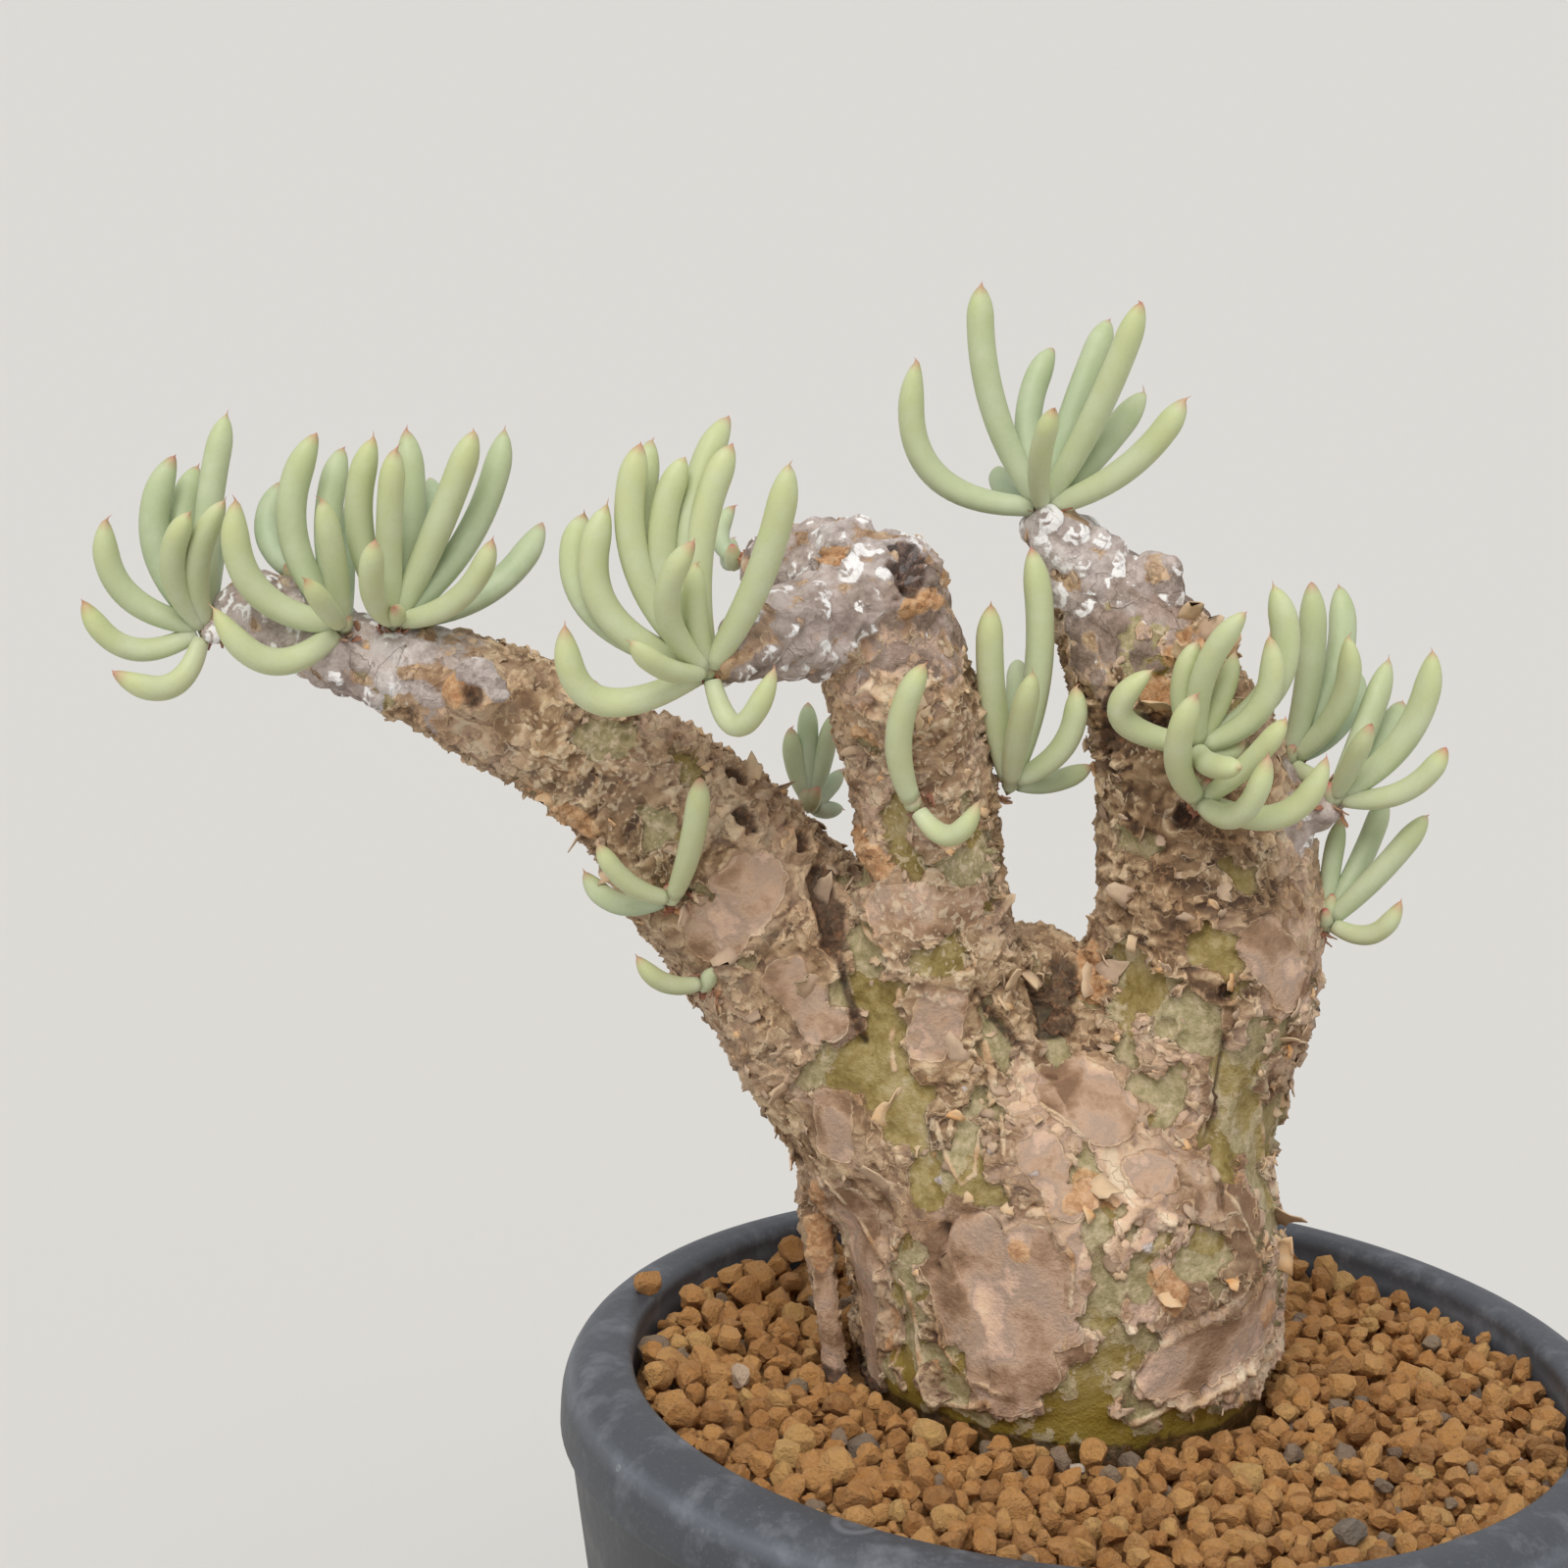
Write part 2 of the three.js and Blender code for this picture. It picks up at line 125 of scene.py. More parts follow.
# Brush strokes on the bark, over its own random pattern: a radius in millimetres, then the column and
# row of each place on the front view's grid. bare is green skin, film is thin pale cork that the green
# shows through, net is cork finely wrinkled, tan is cork freshly peeled, plate is smooth grey cork,
# brown is earthy cork, dark is a hollow painted dark as shade, and white is a chalky spot.
STROKES = {
    "bare": (
        (1.3, 908, 835, 914, 890), (1.8, 880, 970, 903, 1008), (2.0, 872, 1008, 896, 1040, 903, 1072),
        (1.5, 850, 1088, 882, 1096), (2.3, 920, 1125, 930, 1160, 950, 1215), (1.7, 978, 1170, 984, 1200),
        (1.6, 975, 1218, 1008, 1218), (2.2, 1122, 1012, 1162, 1008),
        (2.0, 1262, 1092, 1262, 1140, 1254, 1188), (1.6, 1160, 1284, 1238, 1266),
        (1.9, 922, 1395, 938, 1442, 975, 1462), (2.8, 1068, 1446, 1106, 1430, 1114, 1472),
        (0.9, 862, 1285, 866, 1405), (1.3, 916, 1296, 920, 1400), (1.2, 1250, 885, 1275, 905),
        (1.5, 1142, 985, 1156, 1030), (1.3, 1232, 965, 1258, 1005), (1.0, 690, 776, 715, 800),
        (1.2, 936, 1290, 930, 1260), (1.3, 1126, 1240, 1130, 1275),
    ),
    "film": (
        (2.6, 1168, 1062, 1182, 1120), (1.9, 1114, 1262, 1126, 1312),
        (2.2, 1282, 1195, 1290, 1250, 1306, 1340), (2.6, 982, 1092, 1000, 1150),
        (1.8, 1002, 1040, 1030, 1080), (2.6, 1160, 1300, 1225, 1300), (3.0, 1240, 1040, 1285, 1060),
        (1.6, 590, 762, 640, 768), (1.2, 660, 835, 700, 852), (2.0, 1190, 660, 1150, 640, 1120, 600),
        (2.4, 935, 1010, 945, 1050), (1.7, 930, 1300, 934, 1385), (2.4, 1150, 560, 1160, 690),
        (2.4, 985, 840, 1000, 900),
    ),
    "net": (
        (5.0, 540, 770, 600, 790), (7.0, 925, 700, 948, 790, 951, 880, 960, 960),
        (5.0, 1140, 650, 1170, 740), (5.0, 620, 780, 700, 830),
    ),
    "tan": (
        (0.9, 545, 806, 560, 818), (1.0, 622, 880, 650, 905), (1.5, 1112, 968, 1118, 1006),
        (1.3, 1106, 1200, 1128, 1212), (0.8, 1092, 1228, 1138, 1224), (1.5, 1186, 1308, 1196, 1322),
        (0.4, 905, 1298, 906, 1392), (1.3, 1288, 1338), (1.1, 1034, 1280),
        (1.2, 836, 1212, 835, 1250, 839, 1290), (1.1, 885, 748), (0.9, 856, 774),
        (1.7, 766, 772, 798, 800), (1.0, 924, 618, 948, 614), (1.0, 936, 546, 954, 560, 963, 588),
        (1.5, 853, 572), (0.9, 1196, 668, 1236, 650), (1.4, 878, 856, 896, 884), (1.5, 574, 826, 596, 842),
        (1.4, 1178, 702, 1180, 716), (1.0, 1208, 652, 1246, 642), (1.1, 466, 706),
    ),
    "plate": (
        (5.0, 985, 1290, 1008, 1340, 1028, 1388), (3.8, 1048, 1290, 1066, 1345), (1.4, 962, 1262),
        (3.0, 1188, 1400, 1250, 1368, 1278, 1348), (3.8, 1098, 1105, 1126, 1130), (2.6, 1180, 1195),
        (2.2, 846, 1125, 852, 1165), (2.4, 872, 1232, 884, 1330), (2.4, 962, 1028, 950, 1058),
        (2.4, 905, 928, 985, 925), (3.2, 768, 905, 724, 955), (2.4, 800, 1000, 838, 1040),
        (2.6, 1285, 960, 1310, 1000), (2.4, 1060, 1180, 1090, 1220),
        (1.6, 840, 1300, 846, 1350, 852, 1400), (1.7, 882, 1340, 890, 1400),
    ),
    "brown": (
        (9.0, 1165, 700, 1200, 780, 1225, 860, 1225, 960),
    ),
    "dark": (
        (1.9, 1062, 1005, 1078, 1040), (0.45, 957, 1252, 953, 1292), (1.5, 836, 895, 850, 960),
        (1.4, 1085, 985, 1090, 1010), (1.5, 1140, 720, 1128, 760), (0.8, 1158, 732, 1190, 742),
        (0.9, 1225, 700, 1232, 740), (0.8, 485, 710),
    ),
    "white": (
        (0.5, 1040, 1201, 1056, 1196), (0.4, 950, 1203), (0.5, 1012, 1176), (0.6, 984, 1108),
        (0.6, 1172, 1272), (1.3, 476, 684, 494, 690, 504, 702),
    ),
}

# Knots and old scars: (column, row, radius in millimetres, how dark its middle is: how deep it sinks, and
# above 0.4 painted shade in it)
KNOTS = (
    (755, 840, 1.9, 0.9), (748, 800, 1.5, 0.8), (927, 580, 3.7, 1.0), (1168, 1256, 2.5, 0.35),
    (484, 700, 2.6, 0.0), (892, 715, 1.2, 0.0), (853, 572, 1.8, 0.0), (1190, 1047, 1.0, 0.35),
    (825, 640, 1.6, 0.2), (1205, 835, 1.8, 0.8), (640, 752, 1.3, 0.3), (810, 860, 1.6, 0.6),
    (880, 655, 1.7, 0.2), (1250, 1010, 1.2, 0.5),
)

# Ridges and grooves: height in millimetres, half width and how pale, then each place's column and row
BARK_LINES = (
    (-0.7, 0.5, 0, 1001, 1062, 1008, 1110, 1016, 1160, 1020, 1220),
    (0.45, 0.4, 1, 1007, 1064, 1014, 1110, 1023, 1160, 1027, 1218),
    (-0.7, 0.45, 0, 1066, 1232, 1040, 1226, 1005, 1234, 973, 1240, 955, 1258, 952, 1292),
    (0.5, 0.45, 1, 928, 1318, 934, 1370, 950, 1430, 985, 1436, 1010, 1428),
    (0.35, 0.4, 0.8, 1068, 1240, 1095, 1285, 1092, 1330, 1085, 1378),
    (0.35, 0.4, 0.7, 955, 1325, 962, 1370, 985, 1405, 1030, 1420),
    (-0.9, 1.3, 0.1, 900, 1160, 897, 1240, 903, 1320, 912, 1400), (0.3, 0.4, 1, 908, 1290, 909, 1392),
    (0.4, 0.4, 1, 917, 1012, 909, 1060, 912, 1090),
    (0.35, 0.4, 0.9, 955, 1145, 962, 1180, 976, 1207, 990, 1196, 999, 1152),
    (0.35, 0.45, 0.8, 1240, 1080, 1236, 1150, 1243, 1200, 1264, 1250, 1276, 1295),
    (0.5, 0.5, 1, 1155, 1452, 1200, 1432, 1262, 1402, 1298, 1380),
    (-0.5, 0.5, 0, 1150, 1455, 1156, 1410, 1195, 1350, 1240, 1330),
    (0.5, 0.5, 0.9, 872, 905, 886, 950, 916, 973), (0.35, 0.45, 0.7, 846, 1203, 880, 1246, 898, 1290),
    (0.3, 0.4, 0.7, 1062, 1126, 1090, 1142, 1112, 1162),
    (-1.0, 1.2, 0, 1000, 1012, 1040, 1060, 1075, 1090), (-1.2, 1.5, 0, 835, 900, 850, 960, 880, 1060),
    (-0.8, 1.0, 0, 1250, 1060, 1240, 1150, 1248, 1230),
    (0.5, 0.6, 0.6, 1290, 1090, 1296, 1160, 1300, 1230),
)

# The bark's stored masks: each layer of vertex colours, and what its four channels hold
BARK_MASKS = {
    "bark_edges": ("cover", "cork", "upper", "small"),
    "bark_paint": ("line", "tan", "dark", "silver"),
    "bark_tones": ("tone", "level", "brown", "crest"),
}

# Papery flakes seen at known places: (column, row, length, width, turn in degrees, lift in degrees)
KNOWN_FLAKES = (
    (1045, 985, 5.5, 2.4, 80, 60), (1057, 1000, 4.0, 1.8, 60, 50), (1030, 1004, 3.2, 2.0, 100, 45),
    (1112, 1010, 4.6, 3.2, 95, 28), (900, 1145, 5.4, 2.2, 85, 12), (905, 1212, 5.0, 2.4, 115, 14),
    (1309, 1125, 3.6, 2.2, 80, 40), (1306, 1180, 4.2, 2.4, 95, 40), (1305, 1240, 5.0, 3.4, 60, 45),
    (1304, 1290, 4.6, 3.0, 75, 40), (1310, 1060, 3.0, 2.0, 70, 40), (838, 915, 4.5, 2.0, 60, 30),
    (1128, 995, 4.0, 3.0, 30, 30), (592, 850, 2.6, 1.8, 200, 45), (628, 888, 2.8, 1.6, 210, 45),
    (560, 812, 2.4, 1.5, 200, 40), (1118, 1205, 3.6, 2.6, -60, 16), (1262, 650, 2.6, 1.6, 60, 50),
    (1210, 628, 3.4, 2.4, 70, 45), (1226, 644, 3.6, 2.2, 20, 35), (1248, 662, 3.0, 2.0, 40, 40),
    (1178, 722, 3.4, 3.6, 85, 14), (1026, 870, 3.2, 1.8, 60, 30), (1150, 915, 3.4, 2.0, 150, 35),
    (745, 970, 3.0, 2.0, 230, 25), (808, 1177, 3.4, 1.6, 190, 45), (800, 1108, 3.2, 1.8, 200, 30),
    (1190, 1320, 2.8, 2.2, -80, 20), (975, 1080, 3.4, 2.2, 90, 18), (826, 1006, 3.8, 2.4, 150, 35),
    (1025, 830, 2.6, 1.4, 50, 35), (1022, 925, 2.6, 1.6, 40, 35), (768, 792, 3.0, 2.2, 100, 40),
    (788, 806, 2.6, 1.8, 60, 40), (948, 548, 2.0, 0.7, 85, 70), (872, 765, 2.2, 1.4, 200, 35),
    (1200, 668, 2.4, 1.8, 60, 40), (1245, 905, 2.6, 1.8, -50, 25), (1165, 850, 2.8, 1.6, 160, 35),
    (700, 930, 2.6, 1.6, 220, 35),
)

# Leaf tufts. base is the growing tip's (column, row, depth). A leaf is (bend column, bend row,
# tip column, tip row, lean): where its middle and tip fall on the front view's grid, and how
# many millimetres its tip stands behind the growing tip.
TUFTS = {
    "left_tip": ((210, 643, 1), (
        (117, 590, 109, 524, -2), (129, 660, 83, 609, -3), (175, 699, 112, 683, -5),
        (157, 538, 180, 462, 3), (187, 522, 203, 473, 7), (218, 484, 232, 419, 5),
        (176, 576, 196, 519, -6), (203, 566, 232, 507, -5), (219, 553, 226, 520, 9))),
    "left_shoot_back": ((300, 590, 3), (
        (272, 538, 291, 489, 6),)),
    "left_middle": ((350, 640, -4), (
        (284, 675, 215, 614, -5), (261, 601, 242, 503, -3), (330, 617, 309, 587, -7),
        (297, 532, 325, 439, 2), (337, 507, 352, 452, 7), (338, 558, 327, 504, -4),
        (349, 548, 348, 515, 10))),
    "left_end": ((402, 636, -3), (
        (366, 510, 383, 443, -1), (397, 533, 404, 453, -3), (420, 510, 413, 433, 5),
        (442, 519, 438, 486, 10), (380, 602, 383, 549, -9), (456, 515, 485, 436, 0),
        (488, 528, 515, 434, 5), (529, 574, 554, 531, 7), (472, 606, 503, 547, -5),
        (405, 626, 400, 618, -5))),
    "middle_left": ((722, 686, -19), (
        (598, 707, 576, 634, -3), (586, 570, 598, 520, 5), (610, 606, 621, 511, 0),
        (644, 550, 654, 451, 1), (656, 497, 666, 445, 6), (676, 681, 640, 650, -7),
        (676, 536, 701, 462, 2), (719, 473, 745, 423, 7), (719, 526, 748, 451, 3),
        (680, 611, 710, 550, -8), (709, 618, 710, 570, -3), (780, 574, 805, 470, -4),
        (748, 739, 792, 676, -5))),
    "middle_back": ((748, 575, 3), (
        (734, 545, 751, 514, 4), (744, 566, 748, 545, 8))),
    "upper_right": ((1063, 520, 2), (
        (948, 478, 936, 365, -1), (1012, 411, 1001, 288, 1), (1021, 494, 1019, 475, 9),
        (1054, 397, 1076, 352, 6), (1061, 466, 1076, 414, -8), (1113, 371, 1132, 324, 6),
        (1130, 395, 1165, 305, -2), (1137, 440, 1170, 396, 5), (1158, 470, 1210, 403, -4))),
    "middle_right": ((1030, 800, -5), (
        (1011, 700, 1011, 612, -4), (1060, 668, 1051, 557, 1), (1038, 696, 1038, 673, 9),
        (1041, 737, 1055, 682, -7), (1086, 758, 1096, 694, -2), (1075, 797, 1115, 780, 4))),
    "middle_front": ((930, 822, -13.5), (
        (917, 746, 946, 673, -4), (965, 852, 1001, 810, -4))),
    "right_front_upper": ((1220, 764, -9.5), (
        (1142, 722, 1181, 680, -4), (1206, 697, 1223, 652, -2), (1235, 672, 1274, 621, -5),
        (1249, 703, 1260, 661, 0), (1285, 722, 1293, 644, -2), (1241, 782, 1269, 782, -11),
        (1257, 765, 1268, 748, 0), (1307, 680, 1296, 592, 2))),
    "right_front_lower": ((1222, 818, -10.5), (
        (1201, 770, 1222, 705, -7), (1257, 833, 1295, 765, -7), (1310, 830, 1354, 769, -4),
        (1274, 778, 1313, 731, -4))),
    "right_outer": ((1316, 776, 1), (
        (1338, 658, 1337, 590, 0), (1369, 646, 1365, 595, 6), (1369, 714, 1373, 644, -3),
        (1354, 703, 1357, 677, 8), (1335, 790, 1350, 786, -4), (1376, 720, 1385, 680, 9))),
    "right_stub": ((1360, 816, -3), (
        (1403, 714, 1418, 668, 5), (1445, 731, 1461, 661, 0), (1414, 748, 1431, 714, 8),
        (1383, 770, 1400, 736, -5), (1437, 804, 1476, 760, -3))),
    "right_low": ((1352, 942, -2), (
        (1358, 882, 1369, 830, 3), (1400, 849, 1413, 811, 6), (1414, 882, 1458, 828, 0),
        (1397, 953, 1430, 915, -4))),
    "left_low": ((686, 918, -8), (
        (616, 914, 594, 885, 4), (643, 902, 609, 858, -4), (706, 856, 714, 791, -6))),
    "left_single": ((720, 1004, -6), (
        (675, 1001, 648, 972, -4),)),
    "back": ((826, 822, 10), (
        (810, 776, 807, 738, 3), (824, 764, 824, 714, 5), (840, 773, 849, 725, 4), (845, 803, 861, 783, 7),
        (845, 826, 861, 824, 6))),
}

# Vertices closer together than this, in metres, are one
MERGED = 1e-6

# A distance in millimetres that stands for nowhere near
FAR = 9.0

# A leaf's thickness from base to tip, as a share of its full radius
LEAF_FLESH = (0.74, 0.85, 0.93, 0.98, 1.0, 1.0, 0.99, 0.97, 0.93)

# How many flat chips are knocked off each granule
CHIPS = 9

# Single granules seen at known places: (column, row, radius, height over the lip, grey, pale)
KNOWN_GRAINS = (
    (660, 1307, 1.5, 0.0, 0.0, 0.0), (755, 1405, 1.2, -2.2, 0.0, 0.5), (1375, 1560, 1.6, -2.2, 0.9, 0.0),
)

# Dried water marks on the pot's lip: (column, row, ring's radius, half width), 0 for a plain smear
WATER_MARKS = (
    (872, 1562, 2.0, 0.5), (872, 1562, 0.0, 1.6), (638, 1427, 0.0, 1.3), (652, 1450, 0.0, 1.0),
    (700, 1478, 0.9, 0.4),
)

# A Mix node's sockets when it mixes colours: the share of the second colour, then both colours
SHARE, FIRST, SECOND = 0, 6, 7
COLOURS = {"data_type": "RGBA"}


def to_linear(code):
    """An sRGB hex colour such as "#8f7a67" as linear RGBA."""
    parts = [int(code[i:i + 2], 16) / 255 for i in (1, 3, 5)]
    return [c / 12.92 if c <= 0.04045 else ((c + 0.055) / 1.055) ** 2.4 for c in parts] + [1.0]


class PotSettings(bpy.types.PropertyGroup):
    """Size and colour of the pot"""
    lip_round: FloatProperty(name="Lip rounding", description="Radius of the lip's outer edge",
                             default=4.4 * MM, unit="LENGTH")
    wall: FloatProperty(name="Wall", description="Wall thickness at the foot", default=POT_WALL,
                        unit="LENGTH")
    steps: IntProperty(name="Steps", description="Steps around the pot", default=144, min=24)
    colour: FloatVectorProperty(name="Colour", description="Plastic colour", subtype="COLOR",
                                default=to_linear("#36383d"), size=4)


class SoilSettings(bpy.types.PropertyGroup):
    """Size and number of the clay granules"""
    grain: FloatProperty(name="Grain", description="Mean granule diameter, before its chips come off",
                         default=2.45 * MM, unit="LENGTH")
    tries: IntProperty(name="Granules", description="How many granules are dropped", default=3000, min=10)
    seed: IntProperty(name="Seed", description="Seed of the scatter", default=7)


class BarkSettings(bpy.types.PropertyGroup):
    """Fineness and relief of the bark"""
    voxel: FloatProperty(name="Voxel", description="Cell of the joined mesh", default=0.32 * MM,
                         unit="LENGTH")
    relief: FloatProperty(name="Relief", description="Height of the bark's plates", default=0.5 * MM,
                          unit="LENGTH")
    triangles: IntProperty(name="Triangles", description="Most triangles of the bark", default=190000)
    flakes: IntProperty(name="Flakes", description="Loose flakes scattered on the bark", default=1100)


class LeafSettings(bpy.types.PropertyGroup):
    """Size of the leaves"""
    radius: FloatProperty(name="Radius", description="Radius of a full-sized leaf", default=1.34 * MM,
                          unit="LENGTH")
    start: FloatProperty(name="Start", description="Distance of a leaf's foot from the growing tip",
                         default=1.0 * MM, unit="LENGTH")
    sides: IntProperty(name="Sides", description="Faces around a leaf", default=16, min=5)
    rings: IntProperty(name="Rings", description="Faces along a leaf", default=30, min=8)
    flesh: FloatVectorProperty(name="Flesh", description="Colour of a leaf's middle", subtype="COLOR",
                               default=to_linear("#bfc59b"), size=4)


class StageSettings(bpy.types.PropertyGroup):
    """Floor and light"""
    floor_size: FloatProperty(name="Floor", description="Side of the floor", default=16.0, unit="LENGTH")
    sun: FloatProperty(name="Main light", description="Strength of the soft main light", default=2.0)
    softness: FloatProperty(name="Softness", description="Angle that the main light fills",
                            default=math.radians(38), subtype="ANGLE")
    world: FloatProperty(name="Sky", description="Strength of the even light", default=0.72)


def view_axes():
    """The front view's unit directions: right, up and ahead."""
    tilt, roll = math.radians(VIEW["tilt"]), math.radians(VIEW["roll"])
    ahead = Vector((0, math.cos(tilt), -math.sin(tilt)))
    turn = Matrix.Rotation(roll, 3, ahead)
    return turn @ Vector((1, 0, 0)), turn @ Vector((0, math.sin(tilt), math.cos(tilt))), ahead


RIGHT, UP, AHEAD = view_axes()
FOCAL = VIEW["grid"] / 2 / math.tan(math.radians(VIEW["lens"] / 2))


def sight_line(column, row):
    """The direction from the eye through a place on the front view's grid."""
    half = VIEW["grid"] / 2
    return AHEAD + RIGHT * ((column - half) / FOCAL) + UP * ((half - row) / FOCAL)


EYE = Vector((0, 0, POT_HIGH.z)) - sight_line(*VIEW["rim"]) * VIEW["distance"] * MM


def place(column, row, depth):
    """The point on a sight line that lies depth millimetres behind the plant's middle plane."""
    line = sight_line(column, row)
    return EYE + line * (((PLANT_DEPTH + depth) * MM - EYE.y) / line.y)


def smooth_step(low, high, value):
    share = np.clip((value - low) / (high - low), 0, 1)
    return share * share * (3 - 2 * share)


def bell(value, middle, width):
    return np.exp(-((value - middle) / width) ** 2)


def catmull(values, t):
    """A point on the smooth curve through evenly spaced values, t from 0 to 1."""
    reach = t * (len(values) - 1)
    i = min(int(reach), len(values) - 2)
    f = reach - i
    a, b, c, d = (values[min(max(k, 0), len(values) - 1)] for k in (i - 1, i, i + 1, i + 2))
    return 0.5 * (2 * b + (c - a) * f + (2 * a - 5 * b + 4 * c - d) * f * f
                  + (3 * b - a - 3 * c + d) * f ** 3)


def new_material(name):
    """A material without nodes, and add_node for its tree."""
    material = bpy.data.materials.new(name)
    material.use_nodes = True
    material.node_tree.nodes.clear()
    return material, partial(add_node, material.node_tree)


def add_node(tree, kind, inputs=(), stops=(), **settings):
    """Adds one shader node with its settings and links. inputs maps a socket to a number, a hex
    colour, one output, or a node whose first output in use is meant. stops are a colour ramp's
    places and colours."""
    node = tree.nodes.new("ShaderNode" + kind)
    for name, value in settings.items():
        setattr(node, name, value)
    for i, (at, code) in enumerate(stops):
        element = node.color_ramp.elements[i] if i < 2 else node.color_ramp.elements.new(at)
        element.position = at
        element.color = to_linear(code)
    for socket, value in dict(inputs).items():
        if isinstance(value, bpy.types.Node):
            value = next(output for output in value.outputs if output.enabled)
        if isinstance(value, bpy.types.NodeSocket):
            tree.links.new(value, node.inputs[socket])
        else:
            node.inputs[socket].default_value = to_linear(value) if isinstance(value, str) else value
    return node


def bark_material():
    """Caudiciform bark: paper-thin cork peeling in layers off waxy green skin. So it is matte with
    pale torn edges where cork, smooth and a little glossy where bare, chalky white at leaf scars."""
    material, add = new_material("peeling_paper_cork_over_green_skin")
    where = add("TexCoord").outputs["Object"]
    cloud, fine, tiny = (add("TexNoise", {
        "Vector": where, "Scale": 1 / (size * MM), "Detail": 5.0, "Roughness": 0.65
    }) for size in (5.0, 0.9, 0.35))
    jag = add("Math", {0: fine, 1: 0.26, 2: -0.19}, operation="MULTIPLY_ADD")
    jag = add("Math", {0: tiny, 1: 0.12, 2: jag}, operation="MULTIPLY_ADD")
    mask = {}
    for layer, names in BARK_MASKS.items():
        stored = add("Attribute", attribute_name=layer)
        parts = add("SeparateColor", {"Color": stored.outputs["Color"]})
        mask.update(zip(names, (*parts.outputs, stored.outputs["Alpha"])))
    for name in ("cork", "upper", "small", "line", "tan", "dark"):
        mask[name] = add("Math", {0: mask[name], 1: jag})
    mask["patchy"] = cloud
    for name, swing in (("cover", 1.1), ("tone", 0.5), ("level", 0.5), ("patchy", 0.5), ("crest", 0.8),
                        ("silver", 1.6)):
        mottle = add("Math", {0: fine, 1: swing, 2: -swing / 2}, operation="MULTIPLY_ADD")
        mask[name] = add("Math", {0: mask[name], 1: mottle})

    # Thick cork is mauve grey and pinkish where smooth, tan and brown where rough. The young shoots
    # are grey where worn and silver where fresh, and a crater is full of dark crumbs. The same dark
    # colour is painted shade in hollows, grooves, deep knots and along the soil line.
    smooth_cork, rough_cork, film, skin, rim_colour, peeled_cork, worn, fresh, crumbs_and_shade = (
        add("ValToRGB", {"Fac": value}, stops) for value, *stops in (
            (mask["tone"], (0.0, "#86674e"), (0.18, "#a58469"), (0.36, "#c4a48b"), (0.5, "#b29a88"),
             (0.62, "#d3b29c"), (0.8, "#e3c1a2"), (1.0, "#efdabd")),
            (mask["level"], (0.0, "#4c3626"), (0.22, "#70553c"), (0.45, "#937556"), (0.7, "#b59876"),
             (1.0, "#d6bc98")),
            (fine, (0.34, "#908660"), (0.47, "#a79c76"), (0.56, "#bbab88"), (0.7, "#d0bea2")),
            (mask["patchy"], (0.28, "#74622e"), (0.42, "#8f7b42"), (0.54, "#a5925f"), (0.68, "#bbab84")),
            (cloud, (0.36, "#b98d63"), (0.47, "#d3b08a"), (0.6, "#e6cfae")),
            (fine, (0.35, "#b27b4d"), (0.5, "#cf9c6c"), (0.65, "#e2bb90")),
            (mask["patchy"], (0.3, "#6b594b"), (0.42, "#887364"), (0.54, "#a48d80"), (0.68, "#bfaca1")),
            (mask["patchy"], (0.3, "#9a8a83"), (0.45, "#b9aca6"), (0.6, "#d8cfca")),
            (fine, (0.38, "#24160e"), (0.53, "#472c1b"), (0.66, "#80573a"))))
    shown, thick, line, peeled, hollow = (
        add("ValToRGB", {"Fac": mask[name]}, stops) for name, *stops in (
            ("cover", (0.42, "#000000"), (0.47, "#5a5a5a"), (0.52, "#e8e8e8")),
            ("cork", (0.47, "#000000"), (0.51, "#ffffff")), ("line", (0.4, "#000000"), (0.65, "#f0f0f0")),
            ("tan", (0.46, "#000000"), (0.53, "#d8d8d8")), ("dark", (0.44, "#000000"), (0.6, "#e8e8e8"))))
    height = add("SeparateXYZ", {"Vector": where}).outputs["Z"]
    # Just above the soil the skin is damp and olive
    damp = add("MapRange", {"Value": height, "From Min": SOIL_LEVEL + 11 * MM,
                            "From Max": SOIL_LEVEL + 3 * MM, "To Max": 0.92})
    skin = add("Mix", {SHARE: damp, FIRST: skin, SECOND: "#8e7728"}, **COLOURS)
    cork = add("Mix", {SHARE: mask["brown"], FIRST: smooth_cork, SECOND: rough_cork}, **COLOURS)

    # Torn edges: a line of painted shade under each layer's rim, and the rim itself pale, partly the torn
    # edge's own colour and partly painted highlight
    shade, rim = None, None
    for name, dark, pale in (("cover", "#404040", "#b8b8b8"), ("cork", "#b8b8b8", "#f4f4f4"),
                             ("upper", "#a8a8a8", "#e0e0e0"), ("small", "#888888", "#a0a0a0")):
        under = add("ValToRGB", {"Fac": mask[name]}, (
            (0.38, "#000000"), (0.48, dark), (0.5, "#000000")))
        over = add("ValToRGB", {"Fac": mask[name]}, (
            (0.48, "#000000"), (0.51, pale), (0.58, "#4a4a4a"), (0.7, "#000000")))
        shade = add("Math", {0: under, 1: shade}, operation="MAXIMUM") if shade else under
        rim = add("Math", {0: over, 1: rim}, operation="MAXIMUM") if rim else over
    rim = add("Math", {0: line, 1: rim}, operation="MAXIMUM")
    crest = add("MapRange", {"Value": mask["crest"], "From Min": 0.42, "From Max": 0.58})
    ridge = add("Math", {0: crest, 1: 0.5}, operation="MULTIPLY")
    silver = add("MapRange", {"Value": mask["silver"], "From Min": 0.38, "From Max": 0.55})
    shoot = add("Mix", {SHARE: mask["brown"], FIRST: worn, SECOND: fresh}, **COLOURS)
    shoot = add("Mix", {SHARE: crest, FIRST: shoot, SECOND: "#f8f5f3"}, **COLOURS)
    colour = skin
    for share, coat in ((shown, film), (thick, cork), (shade, "#7a5c42"), (rim, rim_colour),
                        (ridge, "#dfcbae"), (peeled, peeled_cork), (silver, shoot), (hollow, crumbs_and_shade)):
